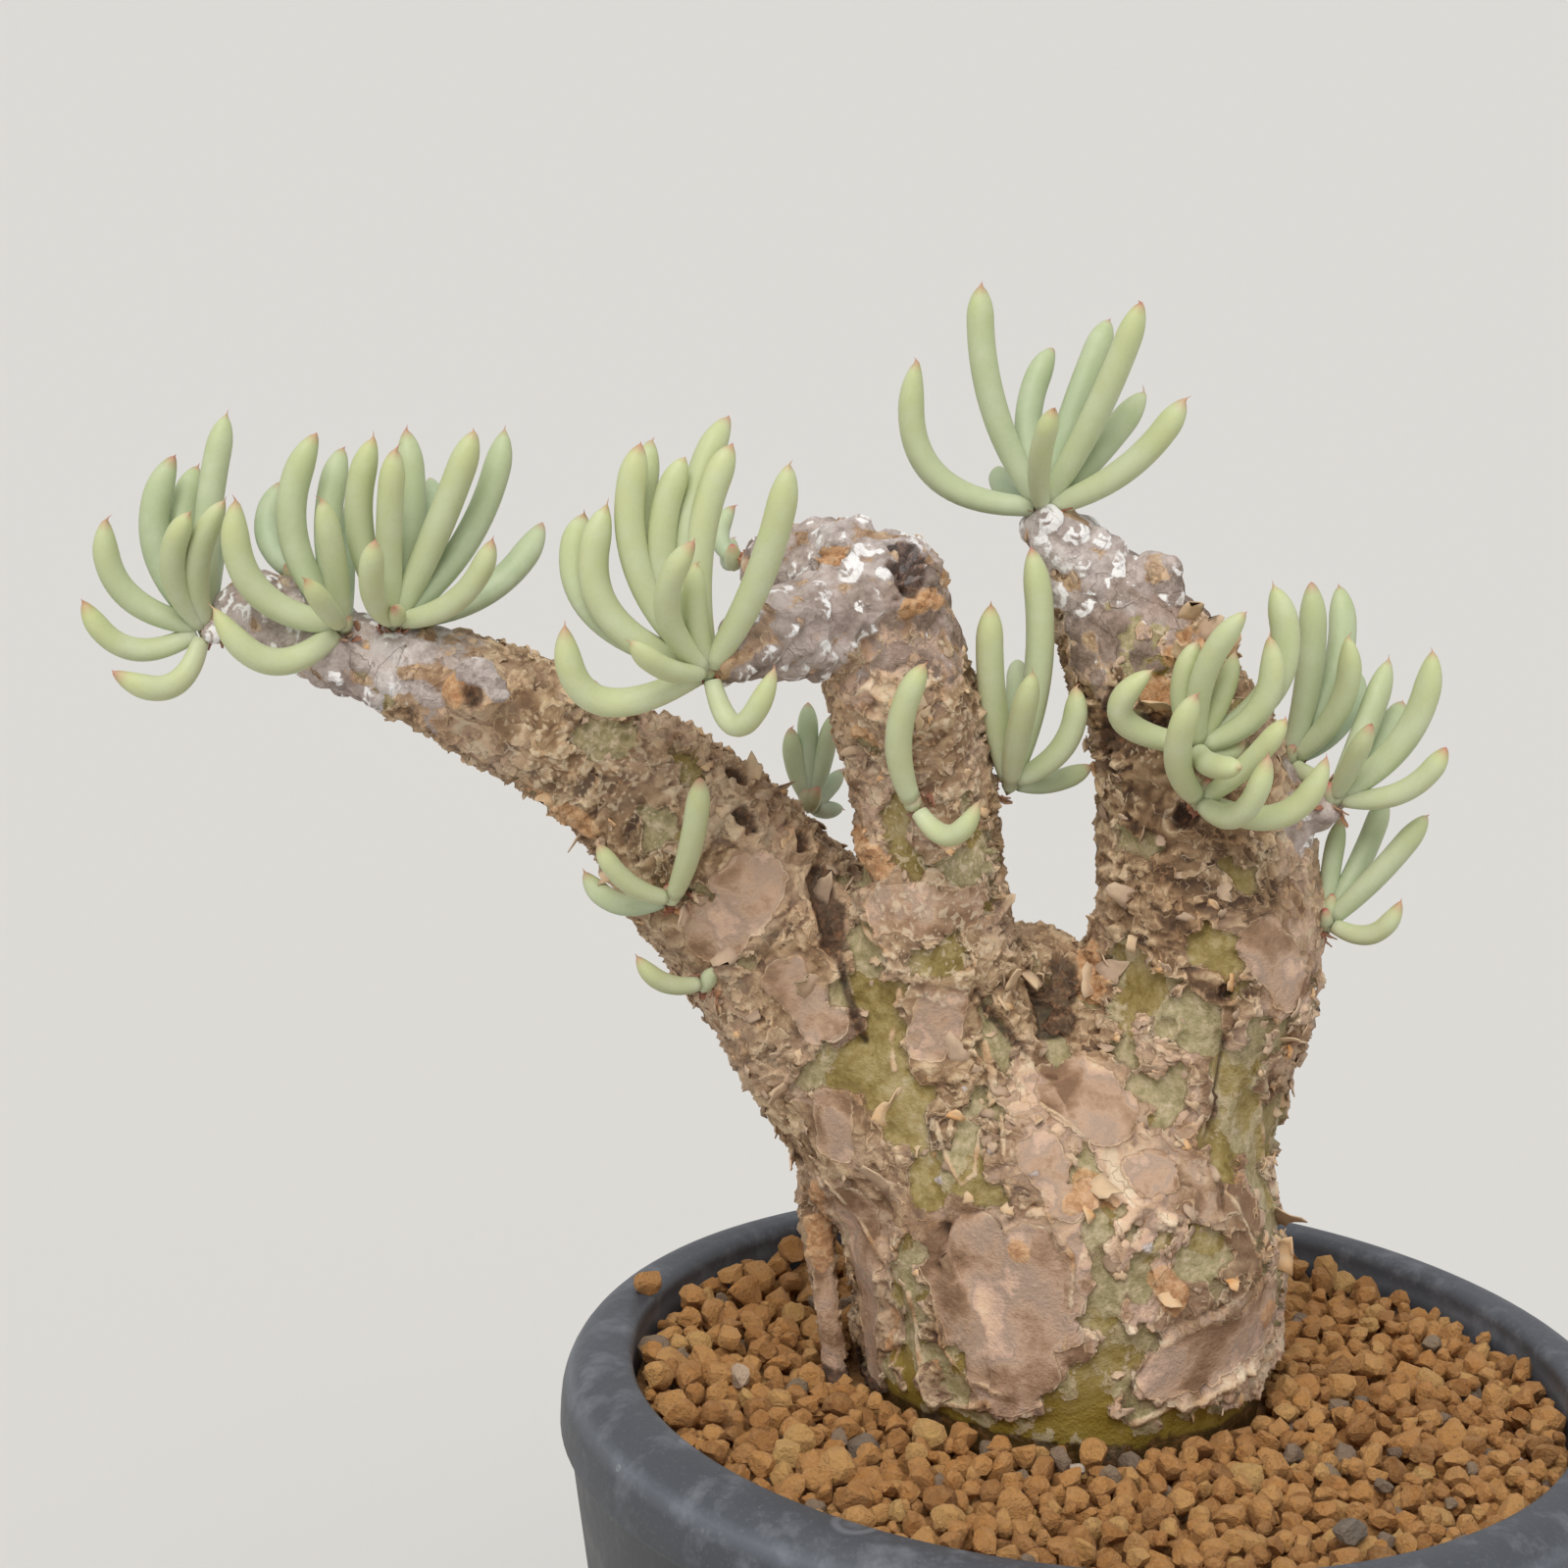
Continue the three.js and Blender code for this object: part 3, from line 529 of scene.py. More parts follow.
        colour = add("Mix", {SHARE: share, FIRST: colour, SECOND: coat}, **COLOURS)
    height = fine
    for part, share in ((rim, 0.4), (tiny, 0.6), (thick, 0.3)):
        height = add("Math", {0: part, 1: share, 2: height}, operation="MULTIPLY_ADD")
    bump = add("Bump", {"Height": height, "Distance": 0.32 * MM, "Strength": 0.85})
    gloss = add("MapRange", {"Value": thick, "To Min": 0.5, "To Max": 0.8})
    add("OutputMaterial", {"Surface": add("BsdfPrincipled", {
        "Base Color": colour, "Roughness": gloss, "IOR": 1.45, "Normal": bump})})
    return material


def flake_material():
    """Dry peeled cork, as thin as paper: matte, from mauve grey to warm tan, redder at the tufts."""
    material, add = new_material("papery_cork_flake")
    where = add("TexCoord").outputs["Object"]
    stored = add("Attribute", attribute_name="flake_tone")
    tone, along, red = add("SeparateColor", {"Color": stored.outputs["Color"]}).outputs
    streaks = add("TexNoise", {
        "Vector": where, "Scale": 1 / (1.1 * MM), "Detail": 5.0, "Roughness": 0.65})
    mottled = add("Math", {0: streaks, 1: 0.6, 2: -0.3}, operation="MULTIPLY_ADD")
    mottled = add("Math", {0: mottled, 1: tone})
    colour = add("ValToRGB", {"Fac": mottled}, (
        (0.0, "#826852"), (0.25, "#a48a75"), (0.5, "#b89d86"), (0.72, "#cfb28e"), (0.9, "#d8ab78"),
        (1.0, "#cf9458")))
    lit = add("Math", {0: along, 1: 0.35}, operation="MULTIPLY")
    for share, coat in ((lit, "#e4cba8"), (red, "#8c4f39")):
        colour = add("Mix", {SHARE: share, FIRST: colour, SECOND: coat}, **COLOURS)
    bump = add("Bump", {"Height": streaks, "Distance": 0.12 * MM, "Strength": 0.6})
    add("OutputMaterial", {"Surface": add("BsdfPrincipled", {
        "Base Color": colour, "Roughness": 0.8, "Normal": bump})})
    return material


def leaf_material(flesh):
    """Succulent leaf: watery flesh under a waxy skin, so light scatters inside and the gloss is
    soft. Pale grey-green with a little yellow, bluer on the underside and on leaves further back
    as painted shade, and reddish brown at the tip."""
    material, add = new_material("waxy_succulent_leaf")
    where = add("TexCoord").outputs["Object"]
    stored = add("Attribute", attribute_name="leaf_place")
    along, tint, shade_blue = add("SeparateColor", {"Color": stored.outputs["Color"]}).outputs
    cloud, fine = (add("TexNoise", {
        "Vector": where, "Scale": 1 / (size * MM), "Detail": 3.0, "Roughness": 0.55
    }) for size in (3.0, 0.35))
    foot, young, yellow, blue, haze, cells = (
        add("MapRange", {"Value": value, "From Min": low, "From Max": high, "To Max": most})
        for value, low, high, most in (
            (along, 0.25, 0.0, 0.5), (along, 0.5, 1.0, 0.7), (tint, 0.0, 1.0, 0.45),
            (shade_blue, 0.0, 1.0, 0.78), (cloud, 0.42, 0.7, 0.4), (fine, 0.5, 0.8, 0.14)))
    colour = tuple(flesh)
    for share, coat in ((foot, "#c9cfb2"), (young, "#c3c98a"), (yellow, "#c9cd9c"), (blue, "#97b098"),
                        (haze, "#ccd3b8"), (cells, "#94a670"), (stored.outputs["Alpha"], "#b03c4c")):
        colour = add("Mix", {SHARE: share, FIRST: colour, SECOND: coat}, **COLOURS)
    bump = add("Bump", {"Height": fine, "Distance": 0.03 * MM, "Strength": 0.5})
    add("OutputMaterial", {"Surface": add("BsdfPrincipled", {
        "Base Color": colour, "Roughness": 0.5, "IOR": 1.4, "Normal": bump, "Subsurface Weight": 0.2,
        "Subsurface Radius": (1.3 * MM, 1.3 * MM, 0.8 * MM), "Subsurface Scale": 1.0})})
    return material


def granule_material():
    """Baked clay granule: dry, porous and chalky, so it is quite matte, ochre with a dusty face."""
    material, add = new_material("baked_clay_granule")
    where = add("TexCoord").outputs["Object"]
    stored = add("Attribute", attribute_name="grain_tone")
    tone, grey, pale = add("SeparateColor", {"Color": stored.outputs["Color"]}).outputs
    cloud, pores = (add("TexNoise", {
        "Vector": where, "Scale": 1 / (size * MM), "Detail": 5.0, "Roughness": 0.68
    }) for size in (1.6, 0.35))
    colour = add("ValToRGB", {"Fac": tone}, (
        (0.0, "#8c5f30"), (0.3, "#ab7740"), (0.55, "#c1894c"), (0.8, "#cd9a5c"), (1.0, "#d0a868")))
    dusty = add("MapRange", {"Value": cloud, "From Min": 0.4, "From Max": 0.68, "To Max": 0.55})
    pitted = add("MapRange", {"Value": pores, "From Min": 0.54, "From Max": 0.7, "To Max": 0.45})
    for share, coat in ((dusty, "#c79a68"), (grey, "#7d776d"), (pale, "#d9d2c4"), (pitted, "#6b4828")):
        colour = add("Mix", {SHARE: share, FIRST: colour, SECOND: coat}, **COLOURS)
    height = add("Math", {0: pores, 1: 1.0, 2: cloud}, operation="MULTIPLY_ADD")
    bump = add("Bump", {"Height": height, "Distance": 0.5 * MM, "Strength": 1.0})
    add("OutputMaterial", {"Surface": add("BsdfPrincipled", {
        "Base Color": colour, "Roughness": 0.94, "Normal": bump})})
    return material


def gravel_material():
    """Pumice: grey-tan, full of pores and quite matte."""
    material, add = new_material("pumice_gravel")
    where = add("TexCoord").outputs["Object"]
    pores = add("TexNoise", {
        "Vector": where, "Scale": 1 / (0.8 * MM), "Detail": 4.0, "Roughness": 0.7})
    colour = add("ValToRGB", {"Fac": pores}, (
        (0.35, "#5c554c"), (0.5, "#8d867b"), (0.7, "#aca495")))
    bump = add("Bump", {"Height": pores, "Distance": 0.4 * MM, "Strength": 0.8})
    add("OutputMaterial", {"Surface": add("BsdfPrincipled", {
        "Base Color": colour, "Roughness": 0.95, "Normal": bump})})
    return material


def pot_material(colour):
    """Moulded polypropylene: a dull satin skin, greyed by dust, with specks of grit and dried
    splashes of hard water, and a pale band of painted highlight along the lip's shoulder."""
    material, add = new_material("dusty_moulded_plastic")
    where = add("TexCoord").outputs["Object"]
    cloud, smear, grain = (add("TexNoise", {
        "Vector": where, "Scale": 1 / (size * MM), "Detail": 5.0, "Roughness": 0.66
    }) for size in (16, 4, 0.45))
    height = add("SeparateXYZ", {"Vector": where}).outputs["Z"]
    cells = add("TexVoronoi", {"Vector": where, "Scale": 1 / (7.0 * MM)})
    top = POT_HIGH.z
    faded, dried, dust, gloss, lip, shoulder, handled = (
        add("MapRange", {"Value": value, "From Min": low, "From Max": high, "To Min": least, "To Max": most})
        for value, low, high, least, most in (
            (cloud, 0.35, 0.7, 0.0, 0.5), (smear, 0.5, 0.74, 0.0, 0.55), (grain, 0.56, 0.78, 0.0, 0.22),
            (smear, 0.3, 0.7, 0.42, 0.62), (height, top - 9 * MM, top - 1.5 * MM, 0.0, 0.25),
            (height, top - 5 * MM, top, 0.0, 1.0), (height, top - 9 * MM, top - 4 * MM, 0.22, 1.0)))
    # The lip's shoulder has a pale bluish band of painted highlight, a painted reflection of the sky, and
    # the wall below it has fewer marks
    shoulder = add("ValToRGB", {"Fac": shoulder}, (
        (0.2, "#000000"), (0.5, "#d0d0d0"), (0.7, "#404040"), (0.85, "#000000")))
    shoulder = add("Math", {0: shoulder, 1: cloud}, operation="MULTIPLY")
    marks = add("Math", {0: dried, 1: handled}, operation="MULTIPLY")
    for column, row, radius, half_width in WATER_MARKS:
        line = sight_line(column, row)
        at = EYE + line * ((top - 0.8 * MM - EYE.z) / line.z)
        away = add("VectorMath", {0: where, 1: at}, operation="DISTANCE")
        away = add("Math", {0: away, 1: radius * MM}, operation="SUBTRACT")
        away = add("Math", {0: away}, operation="ABSOLUTE")
        mark = add("MapRange", {"Value": away, "From Min": half_width * MM,
                                "From Max": 0.3 * half_width * MM})
        mark = add("Math", {0: mark, 1: smear}, operation="MULTIPLY")
        marks = add("Math", {0: mark, 1: marks}, operation="MAXIMUM")
    spot = add("Math", {0: cells.outputs["Distance"], 1: 0.06}, operation="LESS_THAN")
    spot = add("Math", {0: spot, 1: dried}, operation="MULTIPLY")
    colour = tuple(colour)
    for share, coat in ((faded, "#4c4f56"), (lip, "#5a5f68"), (shoulder, "#848b95"), (marks, "#80838a"),
                        (spot, "#c6c7c4"), (dust, "#9a9c9f")):
        colour = add("Mix", {SHARE: share, FIRST: colour, SECOND: coat}, **COLOURS)
    bump = add("Bump", {"Height": grain, "Distance": 0.05 * MM, "Strength": 0.5})
    add("OutputMaterial", {"Surface": add("BsdfPrincipled", {
        "Base Color": colour, "Roughness": gloss, "Normal": bump})})
    return material


def keep(name, mesh, nodes, material, smooth=True):
    """Links a finished mesh as a piece that stands for CAD nodes."""
    mesh.materials.append(material)
    for face in mesh.polygons:
        face.use_smooth = smooth
    piece = bpy.data.objects.new(name, mesh)
    bpy.context.scene.collection.objects.link(piece)
    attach(piece, "root")
    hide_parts(*nodes)
    return piece


def mesh_from(bm, name):
    mesh = bpy.data.meshes.new(name)
    bm.to_mesh(mesh)
    bm.free()
    return mesh


def gather(name, layer_name, makers, batch=40):
    """One mesh of many small shapes. Each maker adds its shape to a bmesh with a layer of vertex
    colours. They are made in batches, because an operator slows down as its bmesh grows."""
    whole = bmesh.new()
    for start in range(0, len(makers), batch):
        bm = bmesh.new()
        layer = bm.verts.layers.float_color.new(layer_name)
        for make in makers[start:start + batch]:
            make(bm, layer)
        bmesh.ops.recalc_face_normals(bm, faces=bm.faces)
        part = mesh_from(bm, "batch")
        whole.from_mesh(part)
        bpy.data.meshes.remove(part)
    return mesh_from(whole, name)


def store_colours(mesh, name, values):
    """Stores four arrays, one value a vertex each, as a colour attribute of the mesh."""
    layer = mesh.attributes.new(name, "FLOAT_COLOR", "POINT")
    layer.data.foreach_set("color", np.stack(values, 1).astype(np.float32).ravel())


def ring_frames(points):
    """A pair of unit directions across the path at each point, turned as little as can be."""
    count = len(points)
    tangents = [(points[min(i + 1, count - 1)] - points[max(i - 1, 0)]).normalized() for i in range(count)]
    side = tangents[0].orthogonal().normalized()
    frames = []
    for tangent in tangents:
        side = (side - tangent * side.dot(tangent)).normalized()
        frames.append((side, tangent.cross(side), tangent))
    return frames


def sleeve(bm, points, radii, sides, squeeze=1.0, layer=None, colour=None, shares=None):
    """A round body along a row of points: a grid wrapped around them, its seam and ends merged.
    colour gives the layer's value for a share of the length and the way that the surface faces."""
    frames = ring_frames(points)
    last = len(points) - 1
    made = bmesh.ops.create_grid(bm, x_segments=sides, y_segments=last, size=0.5)["verts"]
    for vertex in made:
        ring = round((vertex.co.y + 0.5) * last)
        angle = (vertex.co.x + 0.5) * 2 * math.pi
        side, across, _ = frames[ring]
        around = side * math.cos(angle) + across * math.sin(angle) * squeeze
        vertex.co = points[ring] + around * radii[ring]
        if layer:
            vertex[layer] = colour(shares[ring] if shares else ring / last, around)
    bmesh.ops.remove_doubles(bm, verts=made, dist=MERGED)


def turned(profile, steps):
    """A bmesh of a closed shape turned round the upright axis from (radius, height) points."""
    bm = bmesh.new()
    vertices = [bm.verts.new((r, 0, z)) for r, z in profile]
    edges = [bm.edges.new(pair) for pair in zip(vertices, vertices[1:])]
    bmesh.ops.spin(bm, geom=vertices + edges, cent=(0, 0, 0), axis=(0, 0, 1), angle=2 * math.pi,
                   steps=steps, use_merge=True)
    bmesh.ops.remove_doubles(bm, verts=bm.verts, dist=MERGED)
    bmesh.ops.recalc_face_normals(bm, faces=bm.faces)
    return bm


def rounded_ends(points, radii, steps=4):
    """The same path and radii with a half ball added at each end."""
    def cap(point, beyond, radius):
        direction = (point - beyond).normalized()
        arcs = [math.radians(90 * (1 - i / steps)) for i in range(steps)]
        return [(point + direction * radius * math.sin(a), max(radius * math.cos(a), 0)) for a in arcs]
    first = cap(points[0], points[1], radii[0])
    final = cap(points[-1], points[-2], radii[-1])[::-1]
    middle = list(zip(points, radii))
    whole = first + middle + final
    return [p for p, _ in whole], [r for _, r in whole]


def stem_path(name, per_knot=5):
    """Evenly shared points and radii along one stem."""
    knots = STEMS[name]
    centres = [place(*knot[:3]) for knot in knots]
    radii = [knot[3] * MM for knot in knots]
    count = (len(knots) - 1) * per_knot
    return ([catmull(centres, i / count) for i in range(count + 1)],
            [catmull(radii, i / count) for i in range(count + 1)])


def apply_modifiers(mesh, settings):
    """Runs modifiers on a mesh and returns the result as a new mesh."""
    holder = bpy.data.objects.new("holder", mesh)
    bpy.context.scene.collection.objects.link(holder)
    for kind, values in settings:
        modifier = holder.modifiers.new(kind, kind)
        for key, value in values.items():
            setattr(modifier, key, value)
    bpy.context.view_layer.update()
    depsgraph = bpy.context.evaluated_depsgraph_get()
    result = bpy.data.meshes.new_from_object(holder.evaluated_get(depsgraph))
    bpy.data.objects.remove(holder)
    return result


def vertex_values(mesh, name):
    """The places ("co") or normals ("normal") of a mesh's vertices, one row each."""
    values = np.zeros(len(mesh.vertices) * 3, np.float32)
    mesh.vertices.foreach_get(name, values)
    return values.reshape(-1, 3).astype(float)


def surface_tree(mesh):
    """A mesh's surface, to cast sight lines at and to measure distances from."""
    return BVHTree.FromPolygons([v.co.copy() for v in mesh.vertices], [f.vertices[:] for f in mesh.polygons])


def noise_field(points, size_mm, seed, octaves=1, parts=1):
    """Smooth noise from about -1 to 1, its features size_mm across: parts values for each point."""
    side = 64
    table = np.random.RandomState(seed).uniform(-1.25, 1.25, (side ** 3, parts)).astype(np.float32)
    total = np.zeros((len(points), parts), np.float32)
    for octave in range(octaves):
        scaled = points * 2 ** octave / (size_mm * MM) + 17.3 * octave
        cell = np.floor(scaled).astype(np.int32)
        ease = (scaled - cell).astype(np.float32)
        ease = ease * ease * (3 - 2 * ease)
        corners = ((cell + 1) & (side - 1), cell & (side - 1))
        shares = (ease, 1 - ease)
        for i, j, k in np.ndindex(2, 2, 2):
            index = (corners[i][:, 0] * side + corners[j][:, 1]) * side + corners[k][:, 2]
            share = shares[i][:, 0] * shares[j][:, 1] * shares[k][:, 2]
            total += share[:, None] * table[index] / 2 ** octave
    return total[:, 0] if parts == 1 else total


def patchwork(points, warp, size_mm, seed, spread, tilt=0.0):
    """Random patches about size_mm across, their borders bent by warp, each at its own level and
    sloping its own way by tilt. Returns, for each point, the vertices in the middle of its own
    patch and of the next one, the millimetres to the border, and its level above both."""
    chance = np.random.RandomState(seed)
    middles = chance.choice(len(points), int(len(points) * spread / size_mm ** 2), replace=False)
    tree = KDTree(len(middles))
    for middle in middles:
        tree.insert(points[middle], int(middle))
    tree.balance()
    found = [tree.find_n(p, 2) for p in points + warp * size_mm * MM]
    own, other = (np.array([f[k][1] for f in found]) for k in (0, 1))
    gap = np.array([f[1][2] - f[0][2] for f in found]) / (2 * MM)
    slopes = chance.normal(size=(len(points), 3)) * tilt / (size_mm * MM)
    levels = chance.uniform(0, 1, len(points))
    here, there = (levels[k] + ((points - points[k]) * slopes[k]).sum(1) for k in (own, other))
    return own, other, gap, here, here - there


def class_edge(kinds, own, other, gap):
    """Distance to the border between patches of two kinds: above 0 inside kind 1, below in kind 0."""
    gap = np.where(kinds[own] == kinds[other], FAR, gap)
    return np.where(kinds[own], gap, -gap)


def nearest(points, targets):
    """For each point, the index of and distance to the closest target."""
    tree = KDTree(len(targets))
    for i, target in enumerate(targets):
        tree.insert(target, i)
    tree.balance()
    found = [tree.find(p) for p in points]
    return np.array([f[1] for f in found]), np.array([f[2] for f in found])


def stem_skeleton():
    """Points down the middle of every stem, with their directions and radii."""
    centres, directions, radii = [], [], []
    for name in STEMS:
        points, thickness = stem_path(name)
        for (_, _, tangent), point, radius in zip(ring_frames(points), points, thickness):
            centres.append(point)
            directions.append(tangent)
            radii.append(radius)
    return centres, np.array(directions), np.array(radii)


def scar_places():
    """Leaf scars in a golden-angle spiral up each silvery shoot: their places, the ways that their
    open sides face, and how strong, how large and how fresh each is."""
    golden = math.pi * (3 - math.sqrt(5))
    scar_area = 7.6 * MM * MM
    branch_start, silver_share, fade = 0.5, 0.76, 0.1
    rng = random.Random(21)
    scars, ways, kinds = [], [], []
    for name, start in SILVER_SHOOTS:
        points, radii = stem_path(name, 12)
        frames = ring_frames(points)
        travelled, turn = 0.0, 0.0
        # The spiral runs on over the round tip
        points.append(points[-1] + frames[-1][2] * radii[-1] * 0.6)
        radii.append(radii[-1] * 0.8)
        frames.append(frames[-1])
        for i in range(1, len(points)):
            share = i / (len(points) - 1)
            travelled += (points[i] - points[i - 1]).length
            spacing = scar_area / (2 * math.pi * radii[i])
            while travelled > spacing and share >= start:
                travelled -= spacing
                turn += golden + rng.uniform(-0.25, 0.25)
                side, across, tangent = frames[i]
                out = side * math.cos(turn) + across * math.sin(turn)
                way = tangent + tangent.cross(out) * rng.gauss(0, 0.5)
                scars.append(tuple(points[i] + out * radii[i]))
                ways.append(tuple(way.normalized()))
                # A branch turns silver by degrees towards its tip; a short shoot is silver all over
                worn, fresh = 1.0, 0.55
                if start > branch_start:
                    worn = min(1, 0.05 + 5 * (share - start))
                    fresh = max(0, min(1, (share - silver_share) / fade))
                strength = worn * rng.choice((0.4, 0.7, 0.9, 1.0, 1.0))
                kinds.append((strength, rng.uniform(0.85, 1.2), fresh))
            if share < start:
                travelled = 0.0
    return np.array(scars), np.array(ways), np.array(kinds)


def surface_hit(tree, column, row):
    """Where a sight line first meets the surface, and the surface's normal there."""
    hit, normal, _, _ = tree.ray_cast(EYE, sight_line(column, row).normalized())
    return hit, normal


def bark_base(settings):
    """The stems joined into one smooth closed mesh, cut off just under the soil."""
    bm = bmesh.new()
    for name in STEMS:
        sleeve(bm, *rounded_ends(*stem_path(name)), 24)
    bmesh.ops.recalc_face_normals(bm, faces=bm.faces)
    joined = apply_modifiers(mesh_from(bm, "stems"), (
        ("REMESH", {"mode": "VOXEL", "voxel_size": settings.voxel}),
        ("SMOOTH", {"factor": 0.6, "iterations": 14}),
    ))
    bm = bmesh.new()
    bm.from_mesh(joined)
    buried = 5 * MM
    cut = bmesh.ops.bisect_plane(bm, geom=bm.verts[:] + bm.edges[:] + bm.faces[:], clear_inner=True,
                                 plane_co=(0, 0, SOIL_LEVEL - buried), plane_no=(0, 0, 1))
    edges = [e for e in cut["geom_cut"] if isinstance(e, bmesh.types.BMEdge)]
    bmesh.ops.holes_fill(bm, edges=edges)
    return mesh_from(bm, "caudex")


def line_places(tree, places, step=0.4 * MM):
    """Points on the bark along a line through the columns and rows of places, which alternate."""
    hits = [surface_hit(tree, *spot)[0] for spot in zip(places[::2], places[1::2])]
    hits = [hit for hit in hits if hit is not None]
    found = hits[:1]
    for a, b in zip(hits, hits[1:]):
        count = max(1, int((b - a).length / step))
        found += [a.lerp(b, (i + 1) / count) for i in range(count)]
    return np.array([tuple(p) for p in found]).reshape(-1, 3)


def line_distance(points, line, reach):
    """Each point's distance in millimetres to a line's points, where it is under reach."""
    away = np.full(len(points), 99.0)
    if len(line):
        near = np.all((points > line.min(0) - reach * MM) & (points < line.max(0) + reach * MM), axis=1)
        away[near] = np.sqrt(((points[near][:, None] - line[None]) ** 2).sum(2).min(1)) / MM
    return away


def bark_relief(mesh, settings):
    """Works out the bark's layers, moves the vertices along their normals and stores the masks.
    Returns the places for loose flakes: place, way out of the bark, way off the edge, stem radius."""
    points, normals = vertex_values(mesh, "co"), vertex_values(mesh, "normal")
    tree = surface_tree(mesh)
    centres, directions, radii = stem_skeleton()
    index, _ = nearest(points, centres)
    axis, radius = directions[index], radii[index] / MM
    along_stem = (points * axis).sum(1)[:, None] * axis
    drawn_out = points - 0.5 * along_stem
    drawn_in = points + 1.2 * along_stem
    ragged = noise_field(points, 1.6, 3, 2)
    spread = (settings.voxel / MM) ** 2
    young = smooth_step(14, 9, radius)

    # What the strokes say: depth inside each kind, in millimetres
    paint = {kind: np.full(len(points), -FAR) for kind in STROKES}
    for kind, strokes in STROKES.items():
        for width, *places in strokes:
            depth = width - line_distance(points, line_places(tree, places), 2 * width + 1)
            paint[kind] = np.maximum(paint[kind], depth + 0.45 * ragged)
    plate = smooth_step(-0.3, 0.3, paint["plate"])

    # Leaf scars: silver skin on the young shoots, each scar a pale crescent open towards the tip
    scars, scar_ways, scar_kinds = scar_places()
    scar, to_scar = nearest(points, scars)
    to_scar = to_scar / MM + 0.12 * ragged
    strength, size, fresh = scar_kinds[scar].T
    silver = (1 - smooth_step(1.2, 2.4, to_scar + 0.6 * ragged)) * np.clip(strength + 0.45, 0, 1)
    across = ((points - scars[scar]) * scar_ways[scar]).sum(1) / (MM * size)
    crescent = np.clip(1.15 - np.abs(to_scar - 1.15 * size) / (0.45 + 0.2 * fresh), 0, 1)
    crescent = np.maximum(crescent, np.clip(0.95 - np.abs(to_scar - 0.45 * size) / 0.36, 0, 1))
    chalky = np.clip(0.9 + 0.6 * noise_field(points, 1.1, 22), 0, 1.1)
    crescent *= (1 - smooth_step(0.0, 0.7, across)) * chalky
    crescent *= (0.2 + 0.8 * strength) * (0.55 + 0.45 * fresh) * silver
    silver *= np.where(radius > 4.4, smooth_step(-0.55, 0.1, normals[:, 2]), 1)
    silver *= 1 - smooth_step(-0.3, 0.2, paint["tan"])
    mound = (1 - smooth_step(0.5, 1.4, to_scar)) * silver
    white = smooth_step(-0.2, 0.3, paint["white"])

    # Where cork covers the green skin: bare below 0, a thin film up to 0.25, thick cork above
    patch_luck = np.random.RandomState(8).uniform(-0.5, 0.5, len(points))
    cover = (0.5 + 0.75 * noise_field(drawn_out, 7.0, 5) + 0.45 * noise_field(points, 3.0, 6)
             + 0.5 * patch_luck)
    above_soil = (points[:, 2] - SOIL_LEVEL) / MM
    cover += 0.35 * young - 1.2 * smooth_step(3.5, 0.5, above_soil + 1.2 * ragged)
    cover = np.where(paint["bare"] > 0, 1.2 * patch_luck - 0.42, cover)
    cover = np.where(paint["film"] > 0, 0.15 + 0.35 * patch_luck, cover)
    cover = np.where((paint["plate"] > -0.6) | (paint["tan"] > 0), 1, cover)
    warp = 0.12 * noise_field(points, 2.4, 100, 2, 3)
    warp_fine = warp + 0.1 * noise_field(points, 0.9, 101, 2, 3)
    middle, beside, gap, _, _ = patchwork(points, warp_fine, 2.2, 110, spread)
    bare_edge = class_edge(cover > 0, middle, beside, gap)
    cork_edge = class_edge(cover > 0.25, middle, beside, gap)
    has_cork = cork_edge > 0

    # Layers of the cork: large plates, middling flakes and small scales, each sloping its own way
    slab, _, slab_edge, slab_level, slab_step = patchwork(drawn_out, warp, 5.2, 200, spread, 0.35)
    flake, _, flake_edge, flake_level, flake_step = patchwork(points, warp_fine, 2.3, 400, spread, 0.5)
    scale, _, scale_edge, scale_level, scale_step = patchwork(drawn_in, warp_fine, 1.5, 300, spread, 0.55)
    loose_bark = np.clip(0.32 + 0.7 * noise_field(points, 9.0, 91) + 0.5 * young, 0.05, 1)
    loose_bark = loose_bark * (1 - plate) * has_cork
    net = smooth_step(0, 1.5, paint["net"])
    loose_bark *= (1 - silver) * (1 - 0.65 * net)
    upper_edge = np.where(np.abs(slab_step) > 0.25, np.sign(slab_step) * slab_edge, FAR)
    stepped = (np.abs(flake_step) > 0.3) & (loose_bark > 0.25)
    step_edge = np.where(stepped, np.sign(flake_step) * flake_edge, FAR)
    upper_edge = np.where(np.abs(step_edge) < np.abs(upper_edge), step_edge, upper_edge)
    upper_edge = np.where(paint["plate"] > -1.2, paint["plate"], upper_edge)
    stepped = (np.abs(scale_step) > 0.3) & (loose_bark > 0.35)
    small_edge = np.where(stepped, np.sign(scale_step) * scale_edge, FAR)
    folds = noise_field(points + 0.8 * along_stem + warp_fine * 1.5 * MM, 1.7, 31, 2)
    wrinkle = smooth_step(0.2, 0.0, np.abs(folds)) * np.maximum(loose_bark, net * (1 - silver))
    threads = noise_field(points + 0.4 * along_stem + warp_fine * MM, 0.9, 32, 2)
    wrinkle = np.maximum(wrinkle, 0.8 * smooth_step(0.22, 0.0, np.abs(threads)) * net * (1 - silver))

